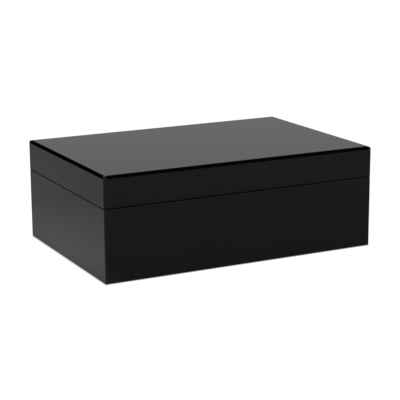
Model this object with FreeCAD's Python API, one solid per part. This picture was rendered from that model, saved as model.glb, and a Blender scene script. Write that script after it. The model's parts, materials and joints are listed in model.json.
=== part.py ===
import FreeCAD, Part
import math
import os

# A tabletop humidor in black lacquer, lined with cedar.
# The lid turns on two quadrant hinges let into the rims of the side and back walls.
# Inside are a sliding tray with a divider, a floor divider, and in the lid a hygrometer
# and a humidifier. Sizes are in millimetres. X runs across the front, Y from front to back,
# Z up, and the origin is below the middle of the object on the surface that it stands on.

V = FreeCAD.Vector

# Outer box
BOX_WIDTH = 340.0
BOX_DEPTH = 230.0
BASE_HEIGHT = 84.0
LID_HEIGHT = 36.0
SEAM_GAP = 0.4
WALL = 12.0
TOP_THICKNESS = 10.0
TOP_EDGE_RADIUS = 3.5
CORNER_EASE = 1.0
SEAM_EDGE_RADIUS = 0.6
FOOT_EDGE_RADIUS = 1.0

# Floor panel let into a rebate of the walls, with felt glued under it
FELT_THICKNESS = 1.4
FELT_PROUD = 0.4
FELT_PLAY = 0.6
FLOOR_THICKNESS = 6.0
FLOOR_REBATE = 5.0

# Cedar lining, standing proud of the rim as the lip that seals the lid
LINING = 5.0
FLOOR_LINING = 4.0
LIP_HEIGHT = 5.0
LIP_PLAY = 0.4
LIP_CHAMFER = 1.5
LID_LINING = 4.0
LID_LINING_PLAY = 0.8
LID_TOP_LINING = 3.0

# Quadrant hinges
PIN_RADIUS = 1.25
PIN_PLAY = 0.05
PIN_OFFSET = 0.6
KNUCKLE_RADIUS = 2.5
KNUCKLE_PLAY = 0.3
KNUCKLE_GAP = 0.2
LEAF_THICKNESS = 2.0
LEAF_WIDTH = 8.0
LEAF_INSET = 2.0
LEAF_PLAY = 0.1
SIDE_LEG = 38.0
BACK_LEG = 36.0
OPEN_ANGLE = 95.0
ARM_RADIUS = 22.0
ARM_WIDTH = 5.0
ARM_THICKNESS = 2.0
ARM_HOOK = 2.0
ARM_HOOK_ANGLE = 6.0
ARM_SLOT_PLAY = 0.3
ARM_MORTISE_PLAY = 0.8
ARM_STOP_PLAY = 0.1

# Countersunk screws
SCREW_HEAD_RADIUS = 2.6
SCREW_HEAD_DEPTH = 1.5
SCREW_RADIUS = 1.3
SCREW_LENGTH = 10.0
SCREW_SIDES = 8
SCREW_SLOT_WIDTH = 0.7
SCREW_SLOT_DEPTH = 0.6
SCREW_PLAY = 0.05

# Tray that slides on two cleats
TRAY_WIDTH = 150.0
TRAY_HEIGHT = 28.0
TRAY_BOARD = 4.0
TRAY_BELOW_RIM = 1.5
TRAY_PLAY = 1.0
TRAY_FINGERS = 5
TRAY_GROOVE_DEPTH = 2.0
TRAY_GROOVE_UP = 2.0
SLAT_THICKNESS = 3.0
SLAT_COUNT = 7
SLAT_GAP = 5.0
SLAT_PLAY = 0.1
GRIP_LENGTH = 30.0
GRIP_HEIGHT = 12.0
GRIP_BELOW_EDGE = 4.0
CLEAT_HEIGHT = 8.0
CLEAT_WIDTH = 6.0
CLEAT_CHAMFER = 1.5
RUN_PLAY = 0.2

# Loose dividers
DIVIDER_THICKNESS = 3.0
DIVIDER_PLAY = 0.5
DIVIDER_BELOW_EDGE = 3.0
DIVIDER_NOTCH_RADIUS = 9.0
DIVIDER_CHAMFER = 0.6
FLOOR_DIVIDER_X = 32.0

# Steel plates that the hygrometer and the humidifier hold on to by bar magnets
PLATE_LENGTH = 24.0
PLATE_WIDTH = 14.0
PLATE_THICKNESS = 1.0
MAGNET_LENGTH = 20.0
MAGNET_WIDTH = 12.0
MAGNET_THICKNESS = 2.5

# Hygrometer
GAUGE_X = -78.0
GAUGE_RADIUS = 24.0
GAUGE_DEPTH = 11.0
GAUGE_WALL = 1.0
GAUGE_FIT = 0.05
DIAL_THICKNESS = 0.5
DIAL_DEPTH = 4.5
GLASS_THICKNESS = 1.2
BEZEL_WIDTH = 3.5
BEZEL_LAP = 1.6
BEZEL_THICKNESS = 1.5
ARBOR_RADIUS = 0.8
ARBOR_PLAY = 0.05
ARBOR_DEPTH = 5.0
NEEDLE_LIFT = 0.5
NEEDLE_THICKNESS = 0.4
NEEDLE_HUB_RADIUS = 2.2
NEEDLE_HUB_HEIGHT = 1.0
NEEDLE_LENGTH = 17.0
NEEDLE_TAIL = 6.0
NEEDLE_WIDTH = 1.8
NEEDLE_TIP_WIDTH = 0.4
SCALE_SWEEP = 270.0
SCALE_TOP = 100.0
READING = 70.0

# Humidifier
TANK_X = 76.0
TANK_WIDTH = 118.0
TANK_DEPTH = 68.0
TANK_HEIGHT = 13.0
TANK_WALL = 2.0
TANK_CORNER = 8.0
TANK_BACK = 4.0
TANK_MAGNET_X = 38.0
COVER_THICKNESS = 1.8
COVER_CHAMFER = 0.8
COVER_TONGUE = 2.0
COVER_TONGUE_RISE = 2.0
COVER_PLAY = 0.1
LOUVRE_ROWS = 2
LOUVRES_PER_ROW = 11
LOUVRE_WIDTH = 3.2
LOUVRE_PITCH = 8.6
LOUVRE_ROW_GAP = 6.0
LOUVRE_MARGIN = 8.0
FOAM_PLAY = 0.4
FOAM_SIDE_PLAY = 2.2

# Levels and faces worked out from the sizes above
Y_FRONT = -(BOX_DEPTH + PIN_OFFSET + KNUCKLE_RADIUS) / 2
Y_BACK = Y_FRONT + BOX_DEPTH
Y_MIDDLE = (Y_FRONT + Y_BACK) / 2
PIN_Y = Y_BACK + PIN_OFFSET
X_SIDE = BOX_WIDTH / 2
SEAM_Z = BASE_HEIGHT
RIM_Z = SEAM_Z - SEAM_GAP / 2
LID_RIM_Z = SEAM_Z + SEAM_GAP / 2
TOP_Z = BASE_HEIGHT + LID_HEIGHT
LIP_Z = RIM_Z + LIP_HEIGHT
FLOOR_PANEL_TOP = FELT_THICKNESS + FLOOR_THICKNESS
FLOOR_Z = FLOOR_PANEL_TOP + FLOOR_LINING
CEILING_Z = TOP_Z - TOP_THICKNESS - LID_TOP_LINING
INNER_X = X_SIDE - WALL - LINING
INNER_FRONT = Y_FRONT + WALL + LINING
INNER_BACK = Y_BACK - WALL - LINING
TRAY_TOP = RIM_Z - TRAY_BELOW_RIM
TRAY_BOTTOM = TRAY_TOP - TRAY_HEIGHT
TRAY_LEFT = -INNER_X + TRAY_PLAY
TRAY_RIGHT = TRAY_LEFT + TRAY_WIDTH
TRAY_FRONT = INNER_FRONT + TRAY_PLAY
TRAY_BACK = INNER_BACK - TRAY_PLAY
CLEAT_TOP = TRAY_BOTTOM - RUN_PLAY
MARGIN = 5.0
TOUCH = 0.001


def block(x0, x1, y0, y1, z0, z1):
    """Solid box between two corners."""
    return Part.makeBox(x1 - x0, y1 - y0, z1 - z0, V(x0, y0, z0))


def upright(x, y, radius, z0, z1):
    """Cylinder that stands on Z."""
    return Part.makeCylinder(radius, z1 - z0, V(x, y, z0))


def crosswise(y, z, radius, x0, x1):
    """Cylinder that lies along X."""
    return Part.makeCylinder(radius, x1 - x0, V(x0, y, z), V(1, 0, 0))


def filled(points):
    """Flat face inside a closed outline."""
    return Part.Face(Part.makePolygon(points + points[:1]))


def extruded(points, along):
    """Closed outline through the points, extruded by a vector."""
    return filled(points).extrude(along)


def slot(start, end, radius, along):
    """Round-ended slot between two points, extruded by a vector."""
    forward = (end - start).normalize()
    side = along.cross(forward).normalize() * radius
    reach = forward * radius
    edges = [
        Part.LineSegment(start + side, end + side).toShape(),
        Part.Arc(end + side, end + reach, end - side).toShape(),
        Part.LineSegment(end - side, start - side).toShape(),
        Part.Arc(start - side, start - reach, start + side).toShape(),
    ]
    return Part.Face(Part.Wire(edges)).extrude(along)


def joined(shapes):
    """One solid from overlapping or touching solids."""
    result = shapes[0]
    for shape in shapes[1:]:
        result = result.fuse(shape)
    return result.removeSplitter()


def without(shape, cutters):
    """A solid less every cutter."""
    for cutter in cutters:
        shape = shape.cut(cutter)
    return shape


def mirrored(shape):
    """The same shape on the other side of the middle plane."""
    return shape.mirror(V(0, 0, 0), V(1, 0, 0))


def both_sides(shapes):
    """The shapes of the left side with their twins on the right."""
    return shapes + [mirrored(shape) for shape in shapes]


def level_edges(shape, z):
    """Edges that lie flat at one height."""
    edges = []
    for edge in shape.Edges:
        box = edge.BoundBox
        if abs(box.ZMin - z) < TOUCH and abs(box.ZMax - z) < TOUCH:
            edges.append(edge)
    return edges


def upright_edges(shape):
    """Straight edges that run along Z."""
    edges = []
    for edge in shape.Edges:
        box = edge.BoundBox
        if box.XLength < TOUCH and box.YLength < TOUCH and box.ZLength > TOUCH:
            edges.append(edge)
    return edges


def corner_wedges(z0, z1):
    """What is sanded off the four upright corners."""
    wedges = []
    for x, inward in ((-X_SIDE, CORNER_EASE), (X_SIDE, -CORNER_EASE)):
        for y, backward in ((Y_FRONT, CORNER_EASE), (Y_BACK, -CORNER_EASE)):
            outline = [V(x, y, z0), V(x + inward, y, z0), V(x, y + backward, z0)]
            wedges.append(extruded(outline, V(0, 0, z1 - z0)))
    return wedges


def lacquered_block(z0, z1, lower_radius, upper_radius):
    """The outer shape of the base or the lid, with every edge eased."""
    shape = block(-X_SIDE, X_SIDE, Y_FRONT, Y_BACK, z0, z1)
    shape = shape.makeFillet(upper_radius, level_edges(shape, z1))
    shape = shape.makeFillet(lower_radius, level_edges(shape, z0))
    return without(shape, corner_wedges(z0, z1))


def room(inset, z0, z1):
    """Space inside the walls, at a distance from the outer faces."""
    return block(-X_SIDE + inset, X_SIDE - inset, Y_FRONT + inset, Y_BACK - inset, z0, z1)


def mitred_sides(ring, inset, thickness):
    """Cut a four-sided ring along its corner mitres into front, right, back and left."""
    z0 = ring.BoundBox.ZMin - MARGIN
    z1 = ring.BoundBox.ZMax + MARGIN
    signs = ((-1, -1), (1, -1), (1, 1), (-1, 1))
    outer = []
    inner = []
    for x_sign, y_sign in signs:
        for corners, depth in ((outer, inset - MARGIN), (inner, inset + thickness + MARGIN)):
            x = x_sign * (X_SIDE - depth)
            y = Y_MIDDLE + y_sign * (BOX_DEPTH / 2 - depth)
            corners.append(V(x, y, z0))
    boards = []
    for first in range(len(signs)):
        second = (first + 1) % len(signs)
        outline = [outer[first], outer[second], inner[second], inner[first]]
        boards.append(ring.common(extruded(outline, V(0, 0, z1 - z0))))
    return boards


# Hinge geometry, worked out for the left-hand hinge

LEAF_X = -X_SIDE + LEAF_INSET + LEAF_WIDTH / 2
LEAF_Y = Y_BACK - LEAF_INSET - LEAF_WIDTH / 2
LEAF_FRONT_Y = PIN_Y - SIDE_LEG + LEAF_WIDTH / 2
LEAF_INNER_X = LEAF_X + BACK_LEG - LEAF_WIDTH
CATCH_DEPTH = SEAM_GAP / 2 + LEAF_THICKNESS + ARM_STOP_PLAY
ARM_OUTER = ARM_RADIUS + ARM_WIDTH / 2
ARM_INNER = ARM_RADIUS - ARM_WIDTH / 2
HOOK_ANGLE = OPEN_ANGLE / 2 + math.degrees(math.asin(CATCH_DEPTH / ARM_OUTER))
TIP_ANGLE = HOOK_ANGLE + ARM_HOOK_ANGLE


def about_pin(radius, angle):
    """Point at an angle above the forward direction, seen from the hinge pin."""
    turn = math.radians(angle)
    return V(0, PIN_Y - radius * math.cos(turn), SEAM_Z + radius * math.sin(turn))


def arc_band(inner, outer, start, end, width):
    """Band concentric with the hinge pin, centred on the leaf's side leg."""
    middle = (start + end) / 2
    edges = [
        Part.Arc(about_pin(outer, start), about_pin(outer, middle), about_pin(outer, end)).toShape(),
        Part.LineSegment(about_pin(outer, end), about_pin(inner, end)).toShape(),
        Part.Arc(about_pin(inner, end), about_pin(inner, middle), about_pin(inner, start)).toShape(),
        Part.LineSegment(about_pin(inner, start), about_pin(outer, start)).toShape(),
    ]
    band = Part.Face(Part.Wire(edges)).extrude(V(width, 0, 0))
    band.translate(V(LEAF_X - width / 2, 0, 0))
    return band


def hinge_arm():
    """Curved stay that floats in both leaves and hooks under them when the lid is open."""
    band = arc_band(ARM_INNER, ARM_OUTER, -TIP_ANGLE, TIP_ANGLE, ARM_THICKNESS)
    lower = arc_band(ARM_INNER, ARM_OUTER + ARM_HOOK, -TIP_ANGLE, -HOOK_ANGLE, ARM_THICKNESS)
    upper = arc_band(ARM_INNER, ARM_OUTER + ARM_HOOK, HOOK_ANGLE, TIP_ANGLE, ARM_THICKNESS)
    return joined([band, lower, upper])


def arm_mortise():
    """Curved pocket in the side wall and the lid rail that the arm slides into."""
    inner = ARM_INNER - ARM_MORTISE_PLAY
    outer = ARM_OUTER + ARM_HOOK + ARM_MORTISE_PLAY
    end = TIP_ANGLE + math.degrees(ARM_MORTISE_PLAY / ARM_RADIUS)
    return arc_band(inner, outer, -end, end, ARM_THICKNESS + 2 * ARM_SLOT_PLAY)


def arm_slot():
    """Slot through a leaf for the arm, too narrow for its hook."""
    inner = ARM_INNER - ARM_SLOT_PLAY
    outer = ARM_OUTER + ARM_SLOT_PLAY
    return arc_band(inner, outer, -HOOK_ANGLE / 2, HOOK_ANGLE / 2, ARM_THICKNESS + 2 * ARM_SLOT_PLAY)


def leaf_plan(z0, z1, play):
    """L-shaped plate with a square heel and round ends."""
    corner = V(LEAF_X, LEAF_Y, z0)
    front = V(LEAF_X, LEAF_FRONT_Y, z0)
    inner = V(LEAF_INNER_X, LEAF_Y, z0)
    rise = V(0, 0, z1 - z0)
    radius = LEAF_WIDTH / 2 + play
    heel = block(LEAF_X - radius, LEAF_X + radius, LEAF_Y - radius, LEAF_Y + radius, z0, z1)
    return joined([slot(front, corner, radius, rise), slot(corner, inner, radius, rise), heel])


def knuckle_spans():
    """The three stretches of the barrel along X: lid, base, lid."""
    third = (LEAF_INNER_X - LEAF_X) / 3
    spans = []
    for index in range(3):
        start = LEAF_X + index * third + KNUCKLE_GAP / 2
        spans.append((start, start + third - KNUCKLE_GAP))
    return spans


def screw_places():
    """Centres of the screws in one leaf."""
    near_corner = LEAF_X + LEAF_WIDTH
    return [(LEAF_X, LEAF_FRONT_Y), (near_corner, LEAF_Y), (LEAF_INNER_X, LEAF_Y)]


def flat_sided_ring(x, y, radius, z):
    """Corners of a screw's flat-sided outline at one level."""
    corners = []
    for index in range(SCREW_SIDES):
        turn = 2 * math.pi * index / SCREW_SIDES
        corners.append(V(x + radius * math.cos(turn), y + radius * math.sin(turn), z))
    return corners


def screw_body(x, y, face_z, drive, play):
    """Countersunk screw with its head flush in a face; drive is 1 for up, -1 for down."""
    radius = SCREW_RADIUS + play
    rings = [
        flat_sided_ring(x, y, SCREW_HEAD_RADIUS + play, face_z),
        flat_sided_ring(x, y, radius, face_z + drive * SCREW_HEAD_DEPTH),
        flat_sided_ring(x, y, radius, face_z + drive * (SCREW_LENGTH + play)),
    ]
    faces = [filled(rings[0]), filled(rings[-1])]
    for near, far in zip(rings, rings[1:]):
        for index in range(SCREW_SIDES):
            faces.append(filled([near[index - 1], near[index], far[index], far[index - 1]]))
    return Part.makeSolid(Part.makeShell(faces))


def screw(x, y, face_z, drive):
    """Slotted countersunk screw."""
    half_width = SCREW_SLOT_WIDTH / 2
    half_length = SCREW_HEAD_RADIUS + MARGIN
    groove_z = sorted((face_z - drive * MARGIN, face_z + drive * SCREW_SLOT_DEPTH))
    groove = block(x - half_length, x + half_length, y - half_width, y + half_width, *groove_z)
    return screw_body(x, y, face_z, drive, 0).cut(groove)


def leaf_screws(face_z, drive):
    """Screws of the left leaf at one rim."""
    return [screw(x, y, face_z, drive) for x, y in screw_places()]


def screw_holes(face_z, drive):
    """Countersunk holes for the screws of the left leaf."""
    return [screw_body(x, y, face_z, drive, SCREW_PLAY) for x, y in screw_places()]


def hinge_leaf(face_z, drive, own_spans, other_spans):
    """Leaf with its knuckles, the slot for the arm and countersunk holes."""
    z0, z1 = sorted((face_z, face_z + drive * LEAF_THICKNESS))
    solids = [leaf_plan(z0, z1, 0)]
    for x0, x1 in own_spans:
        solids.append(block(x0, x1, LEAF_Y, PIN_Y, z0, z1))
        solids.append(crosswise(PIN_Y, SEAM_Z, KNUCKLE_RADIUS, x0, x1))
    cutters = [crosswise(PIN_Y, SEAM_Z, PIN_RADIUS + PIN_PLAY, LEAF_X - MARGIN, LEAF_INNER_X + MARGIN)]
    for x0, x1 in other_spans:
        clear_radius = KNUCKLE_RADIUS + KNUCKLE_PLAY
        cutters.append(crosswise(PIN_Y, SEAM_Z, clear_radius, x0 - KNUCKLE_GAP, x1 + KNUCKLE_GAP))
    return without(joined(solids), cutters + [arm_slot()] + screw_holes(face_z, drive))


def hinge_recesses(face_z, drive):
    """Everything that the left-hand hinge needs cut from a rim, the arm's mortise apart."""
    z0, z1 = sorted((face_z + drive * LEAF_THICKNESS, face_z - drive * MARGIN))
    x0 = LEAF_X - KNUCKLE_PLAY
    x1 = LEAF_INNER_X + KNUCKLE_PLAY
    barrel = crosswise(PIN_Y, SEAM_Z, KNUCKLE_RADIUS + KNUCKLE_PLAY, x0, x1)
    tongue = block(x0, x1, LEAF_Y, Y_BACK + MARGIN, z0, z1)
    return [leaf_plan(z0, z1, LEAF_PLAY), tongue, barrel] + screw_holes(face_z, drive)


def hinge_pin():
    """Pin through the three knuckles."""
    return crosswise(PIN_Y, SEAM_Z, PIN_RADIUS, LEAF_X, LEAF_INNER_X)


def hinges():
    """Both quadrant hinges, each kind of piece as a left and right pair."""
    first, middle, last = knuckle_spans()
    pieces = {
        "hinge_case_leaves": [hinge_leaf(RIM_Z, -1, [middle], [first, last])],
        "hinge_lid_leaves": [hinge_leaf(LID_RIM_Z, 1, [first, last], [middle])],
        "hinge_arms": [hinge_arm()],
        "hinge_pins": [hinge_pin()],
        "hinge_case_screws": leaf_screws(RIM_Z, -1),
        "hinge_lid_screws": leaf_screws(LID_RIM_Z, 1),
    }
    return {name: Part.makeCompound(both_sides(shapes)) for name, shapes in pieces.items()}


def case_panels():
    """Four mitred walls with a rebate for the floor and the hinge mortises in their rim."""
    ring = lacquered_block(FELT_PROUD, RIM_Z, FOOT_EDGE_RADIUS, SEAM_EDGE_RADIUS)
    opening = room(WALL, FELT_PROUD - MARGIN, RIM_Z + MARGIN)
    rebate = room(WALL - FLOOR_REBATE, FELT_PROUD - MARGIN, FLOOR_PANEL_TOP)
    cutters = both_sides(hinge_recesses(RIM_Z, -1) + [arm_mortise()])
    ring = without(ring, [opening, rebate] + cutters)
    front, right, back, left = mitred_sides(ring, 0, WALL)
    return {
        "case_front_panel": front,
        "case_right_panel": right,
        "case_back_panel": back,
        "case_left_panel": left,
    }


def case_floor():
    """Floor panel in the walls' rebate, and the felt that the box stands on."""
    inset = WALL - FLOOR_REBATE
    return {
        "case_floor_panel": room(inset, FELT_THICKNESS, FLOOR_PANEL_TOP),
        "base_felt": room(inset + FELT_PLAY, 0, FELT_THICKNESS),
    }


def case_lining():
    """Cedar boards inside the walls, relieved and chamfered where they stand proud."""
    body = room(WALL, FLOOR_Z, RIM_Z)
    lip = room(WALL + LIP_PLAY, RIM_Z, LIP_Z)
    lip = lip.makeChamfer(LIP_CHAMFER, level_edges(lip, LIP_Z))
    ring = joined([body, lip]).cut(room(WALL + LINING, FLOOR_Z - MARGIN, LIP_Z + MARGIN))
    front, right, back, left = mitred_sides(ring, WALL, LINING)
    return {
        "lining_floor": room(WALL, FLOOR_PANEL_TOP, FLOOR_Z),
        "lining_front": front,
        "lining_right": right,
        "lining_back": back,
        "lining_left": left,
    }


def cleat(wall_y, inward):
    """Strip along the lining with chamfered edges, on which the tray slides."""
    y0, y1 = sorted((wall_y, wall_y + inward * CLEAT_WIDTH))
    strip = block(-INNER_X, INNER_X, y0, y1, CLEAT_TOP - CLEAT_HEIGHT, CLEAT_TOP)
    edges = []
    for edge in strip.Edges:
        if edge.BoundBox.XLength > BOX_WIDTH / 2 and abs(edge.BoundBox.YMin - wall_y) > CLEAT_WIDTH / 2:
            edges.append(edge)
    return strip.makeChamfer(CLEAT_CHAMFER, edges)


def cleats():
    """Front and back tray cleats."""
    return {
        "tray_cleat_front": cleat(INNER_FRONT, 1),
        "tray_cleat_back": cleat(INNER_BACK, -1),
    }


def lid_panels():
    """Top panel over four mitred rails, with the hinge mortises in their rim."""
    shape = lacquered_block(LID_RIM_Z, TOP_Z, SEAM_EDGE_RADIUS, TOP_EDGE_RADIUS)
    split_z = TOP_Z - TOP_THICKNESS
    above = room(-MARGIN, split_z, TOP_Z + MARGIN)
    top = without(shape.common(above), plate_screw_holes())
    opening = room(WALL, LID_RIM_Z - MARGIN, split_z)
    cutters = both_sides(hinge_recesses(LID_RIM_Z, 1) + [arm_mortise()])
    ring = without(shape.cut(above), [opening] + cutters)
    front, right, back, left = mitred_sides(ring, 0, WALL)
    return {
        "lid_top_panel": top,
        "lid_front_rail": front,
        "lid_right_rail": right,
        "lid_back_rail": back,
        "lid_left_rail": left,
    }


def lid_lining():
    """Cedar boards in the lid, ending above the lip of the base."""
    z0 = LIP_Z + LID_LINING_PLAY
    ring = room(WALL, z0, CEILING_Z).cut(room(WALL + LID_LINING, z0 - MARGIN, CEILING_Z + MARGIN))
    front, right, back, left = mitred_sides(ring, WALL, LID_LINING)
    ceiling = room(WALL, CEILING_Z, TOP_Z - TOP_THICKNESS)
    return {
        "lid_lining_top": without(ceiling, plate_screw_holes()),
        "lid_lining_front": front,
        "lid_lining_right": right,
        "lid_lining_back": back,
        "lid_lining_left": left,
    }


# Levels inside the lid

PLATE_Z = CEILING_Z - PLATE_THICKNESS
GAUGE_TOP = PLATE_Z - MAGNET_THICKNESS
GAUGE_MOUTH = GAUGE_TOP - GAUGE_DEPTH
DIAL_TOP = GAUGE_MOUTH + DIAL_DEPTH
DIAL_FACE = DIAL_TOP - DIAL_THICKNESS
GAUGE_BORE = GAUGE_RADIUS - GAUGE_WALL
ARBOR_TOP = DIAL_TOP + ARBOR_DEPTH
NEEDLE_TOP = DIAL_FACE - NEEDLE_LIFT
NEEDLE_BOTTOM = NEEDLE_TOP - NEEDLE_HUB_HEIGHT
TANK_TOP = PLATE_Z
TANK_MOUTH = TANK_TOP - TANK_HEIGHT


def plate_places():
    """Centres of the steel plates: one for the hygrometer, two for the humidifier."""
    return [(GAUGE_X, Y_MIDDLE), (TANK_X - TANK_MAGNET_X, Y_MIDDLE), (TANK_X + TANK_MAGNET_X, Y_MIDDLE)]


def plate_screw_holes():
    """Holes for the screws that go up through the plates and the lining into the top panel."""
    return [screw_body(x, y, PLATE_Z, 1, SCREW_PLAY) for x, y in plate_places()]


def bar(x, y, length, width, z0, z1):
    """Flat bar about a centre, along X."""
    return block(x - length / 2, x + length / 2, y - width / 2, y + width / 2, z0, z1)


def mounting_plates():
    """Steel plates screwed to the lid's lining."""
    holes = plate_screw_holes()
    plates = []
    for x, y in plate_places():
        plates.append(without(bar(x, y, PLATE_LENGTH, PLATE_WIDTH, PLATE_Z, CEILING_Z), holes))
    return {
        "hygrometer_plate": plates[0],
        "humidifier_plates": Part.makeCompound(plates[1:]),
        "plate_screws": Part.makeCompound([screw(x, y, PLATE_Z, 1) for x, y in plate_places()]),
    }


def magnet_bars():
    """Bar magnets under the plates."""
    bars = []
    for x, y in plate_places():
        bars.append(bar(x, y, MAGNET_LENGTH, MAGNET_WIDTH, PLATE_Z - MAGNET_THICKNESS, PLATE_Z))
    return bars


def gauge_disc(radius, z0, z1):
    """Round piece on the hygrometer's axis."""
    return upright(GAUGE_X, Y_MIDDLE, radius, z0, z1)


def gauge_case():
    """Closed drum with a recess for the dial and the glass, and a bore for the arbor."""
    arbor_bore = gauge_disc(ARBOR_RADIUS + ARBOR_PLAY, DIAL_TOP - MARGIN, ARBOR_TOP + NEEDLE_LIFT)
    recess = gauge_disc(GAUGE_BORE, GAUGE_MOUTH, DIAL_TOP)
    return without(gauge_disc(GAUGE_RADIUS, GAUGE_MOUTH, GAUGE_TOP), [recess, arbor_bore])


def gauge_front():
    """Dial at the bottom of the recess, glass flush with its mouth, and the bezel over both."""
    seat = GAUGE_BORE - GAUGE_FIT
    arbor_hole = gauge_disc(ARBOR_RADIUS + ARBOR_PLAY, DIAL_FACE, DIAL_TOP)
    bezel_face = GAUGE_MOUTH - BEZEL_THICKNESS
    opening = gauge_disc(GAUGE_BORE - BEZEL_LAP, bezel_face, GAUGE_MOUTH)
    return {
        "hygrometer_dial": gauge_disc(seat, DIAL_FACE, DIAL_TOP).cut(arbor_hole),
        "hygrometer_glass": gauge_disc(seat, GAUGE_MOUTH, GAUGE_MOUTH + GLASS_THICKNESS),
        "hygrometer_bezel": gauge_disc(GAUGE_RADIUS + BEZEL_WIDTH, bezel_face, GAUGE_MOUTH).cut(opening),
    }


def needle():
    """Pointer on its hub, turned to the reading from the middle of the scale, which is at the front."""
    z0 = NEEDLE_TOP - NEEDLE_THICKNESS
    hub = gauge_disc(NEEDLE_HUB_RADIUS, NEEDLE_BOTTOM, NEEDLE_TOP)
    tip_y = Y_MIDDLE - NEEDLE_LENGTH
    outline = [
        V(GAUGE_X - NEEDLE_WIDTH / 2, Y_MIDDLE, z0),
        V(GAUGE_X + NEEDLE_WIDTH / 2, Y_MIDDLE, z0),
        V(GAUGE_X + NEEDLE_TIP_WIDTH / 2, tip_y, z0),
        V(GAUGE_X - NEEDLE_TIP_WIDTH / 2, tip_y, z0),
    ]
    blade = extruded(outline, V(0, 0, NEEDLE_THICKNESS))
    half = NEEDLE_WIDTH / 2
    tail = block(GAUGE_X - half, GAUGE_X + half, Y_MIDDLE, Y_MIDDLE + NEEDLE_TAIL, z0, NEEDLE_TOP)
    pointer = joined([hub, blade, tail]).cut(arbor())
    pointer.rotate(V(GAUGE_X, Y_MIDDLE, 0), V(0, 0, 1), SCALE_SWEEP * (READING / SCALE_TOP - 0.5))
    return pointer


def arbor():
    """Spindle that carries the needle in the case's bore."""
    return gauge_disc(ARBOR_RADIUS, NEEDLE_BOTTOM, ARBOR_TOP)


def hygrometer():
    """Dial instrument held to the lid by a magnet."""
    nodes = {
        "hygrometer_magnet": magnet_bars()[0],
        "hygrometer_case": gauge_case(),
        "hygrometer_arbor": arbor(),
        "hygrometer_needle": needle(),
    }
    nodes.update(gauge_front())
    return nodes


def tank_block(inset, corner, z0, z1):
    """Block with the humidifier's rounded outline, at a distance from its outer faces."""
    shape = bar(TANK_X, Y_MIDDLE, TANK_WIDTH - 2 * inset, TANK_DEPTH - 2 * inset, z0, z1)
    return shape.makeFillet(corner, upright_edges(shape))


def louvres(z0, z1):
    """Square-ended slots in rows across the cover."""
    row_length = (TANK_DEPTH - 2 * LOUVRE_MARGIN - LOUVRE_ROW_GAP * (LOUVRE_ROWS - 1)) / LOUVRE_ROWS
    first_x = TANK_X - LOUVRE_PITCH * (LOUVRES_PER_ROW - 1) / 2
    first_y = Y_MIDDLE - TANK_DEPTH / 2 + LOUVRE_MARGIN + row_length / 2
    slots = []
    for row in range(LOUVRE_ROWS):
        y = first_y + row * (row_length + LOUVRE_ROW_GAP)
        for column in range(LOUVRES_PER_ROW):
            slots.append(bar(first_x + column * LOUVRE_PITCH, y, LOUVRE_WIDTH, row_length, z0, z1))
    return Part.makeCompound(slots)


def cover_tongues():
    """Two tongues behind the cover that snap in along the tank's long sides."""
    length = TANK_WIDTH - 2 * TANK_CORNER
    reach = TANK_DEPTH / 2 - TANK_WALL - COVER_PLAY - COVER_TONGUE / 2
    tongues = []
    for y in (Y_MIDDLE - reach, Y_MIDDLE + reach):
        tongues.append(bar(TANK_X, y, length, COVER_TONGUE, TANK_MOUTH, TANK_MOUTH + COVER_TONGUE_RISE))
    return tongues


def humidifier_cover():
    """Louvred cover with the tongues that hold it in the tank."""
    face_z = TANK_MOUTH - COVER_THICKNESS
    plate = tank_block(0, TANK_CORNER, face_z, TANK_MOUTH)
    plate = plate.makeChamfer(COVER_CHAMFER, level_edges(plate, face_z))
    return joined([plate] + cover_tongues()).cut(louvres(face_z, TANK_MOUTH))


def humidifier():
    """Tank with its foam, cover and magnets."""
    hollow = tank_block(TANK_WALL, TANK_CORNER - TANK_WALL, TANK_MOUTH - MARGIN, TANK_TOP - TANK_BACK)
    magnets = magnet_bars()[1:]
    tank = without(tank_block(0, TANK_CORNER, TANK_MOUTH, TANK_TOP), [hollow] + magnets)
    foam_bottom = TANK_MOUTH + COVER_TONGUE_RISE + FOAM_PLAY
    foam_width = TANK_WIDTH - 2 * (TANK_WALL + FOAM_SIDE_PLAY)
    foam_depth = TANK_DEPTH - 2 * (TANK_WALL + FOAM_SIDE_PLAY)
    foam_top = TANK_TOP - TANK_BACK - FOAM_PLAY
    foam = bar(TANK_X, Y_MIDDLE, foam_width, foam_depth, foam_bottom, foam_top)
    return {
        "humidifier_tank": tank,
        "humidifier_magnets": Part.makeCompound(magnets),
        "humidifier_foam": foam,
        "humidifier_cover": humidifier_cover(),
    }


def finger_levels(first):
    """Heights of every second finger of the tray's corner joints."""
    height = TRAY_HEIGHT / TRAY_FINGERS
    levels = []
    for index in range(first, TRAY_FINGERS, 2):
        levels.append((TRAY_BOTTOM + index * height, TRAY_BOTTOM + (index + 1) * height))
    return levels


def tray_floor_space(play):
    """Space of the tray's floor, its edges in the boards' grooves."""
    inset = TRAY_BOARD - TRAY_GROOVE_DEPTH + play
    z0 = TRAY_BOTTOM + TRAY_GROOVE_UP + play
    z1 = TRAY_BOTTOM + TRAY_GROOVE_UP + SLAT_THICKNESS - play
    return block(TRAY_LEFT + inset, TRAY_RIGHT - inset, TRAY_FRONT + inset, TRAY_BACK - inset, z0, z1)


def tray_end_board(y0):
    """Front or back board of the tray, with its fingers at both ends."""
    y1 = y0 + TRAY_BOARD
    board = block(TRAY_LEFT, TRAY_RIGHT, y0, y1, TRAY_BOTTOM, TRAY_TOP)
    cutters = [tray_floor_space(0)]
    for z0, z1 in finger_levels(1):
        cutters.append(block(TRAY_LEFT, TRAY_LEFT + TRAY_BOARD, y0, y1, z0, z1))
        cutters.append(block(TRAY_RIGHT - TRAY_BOARD, TRAY_RIGHT, y0, y1, z0, z1))
    return without(board, cutters)


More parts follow.
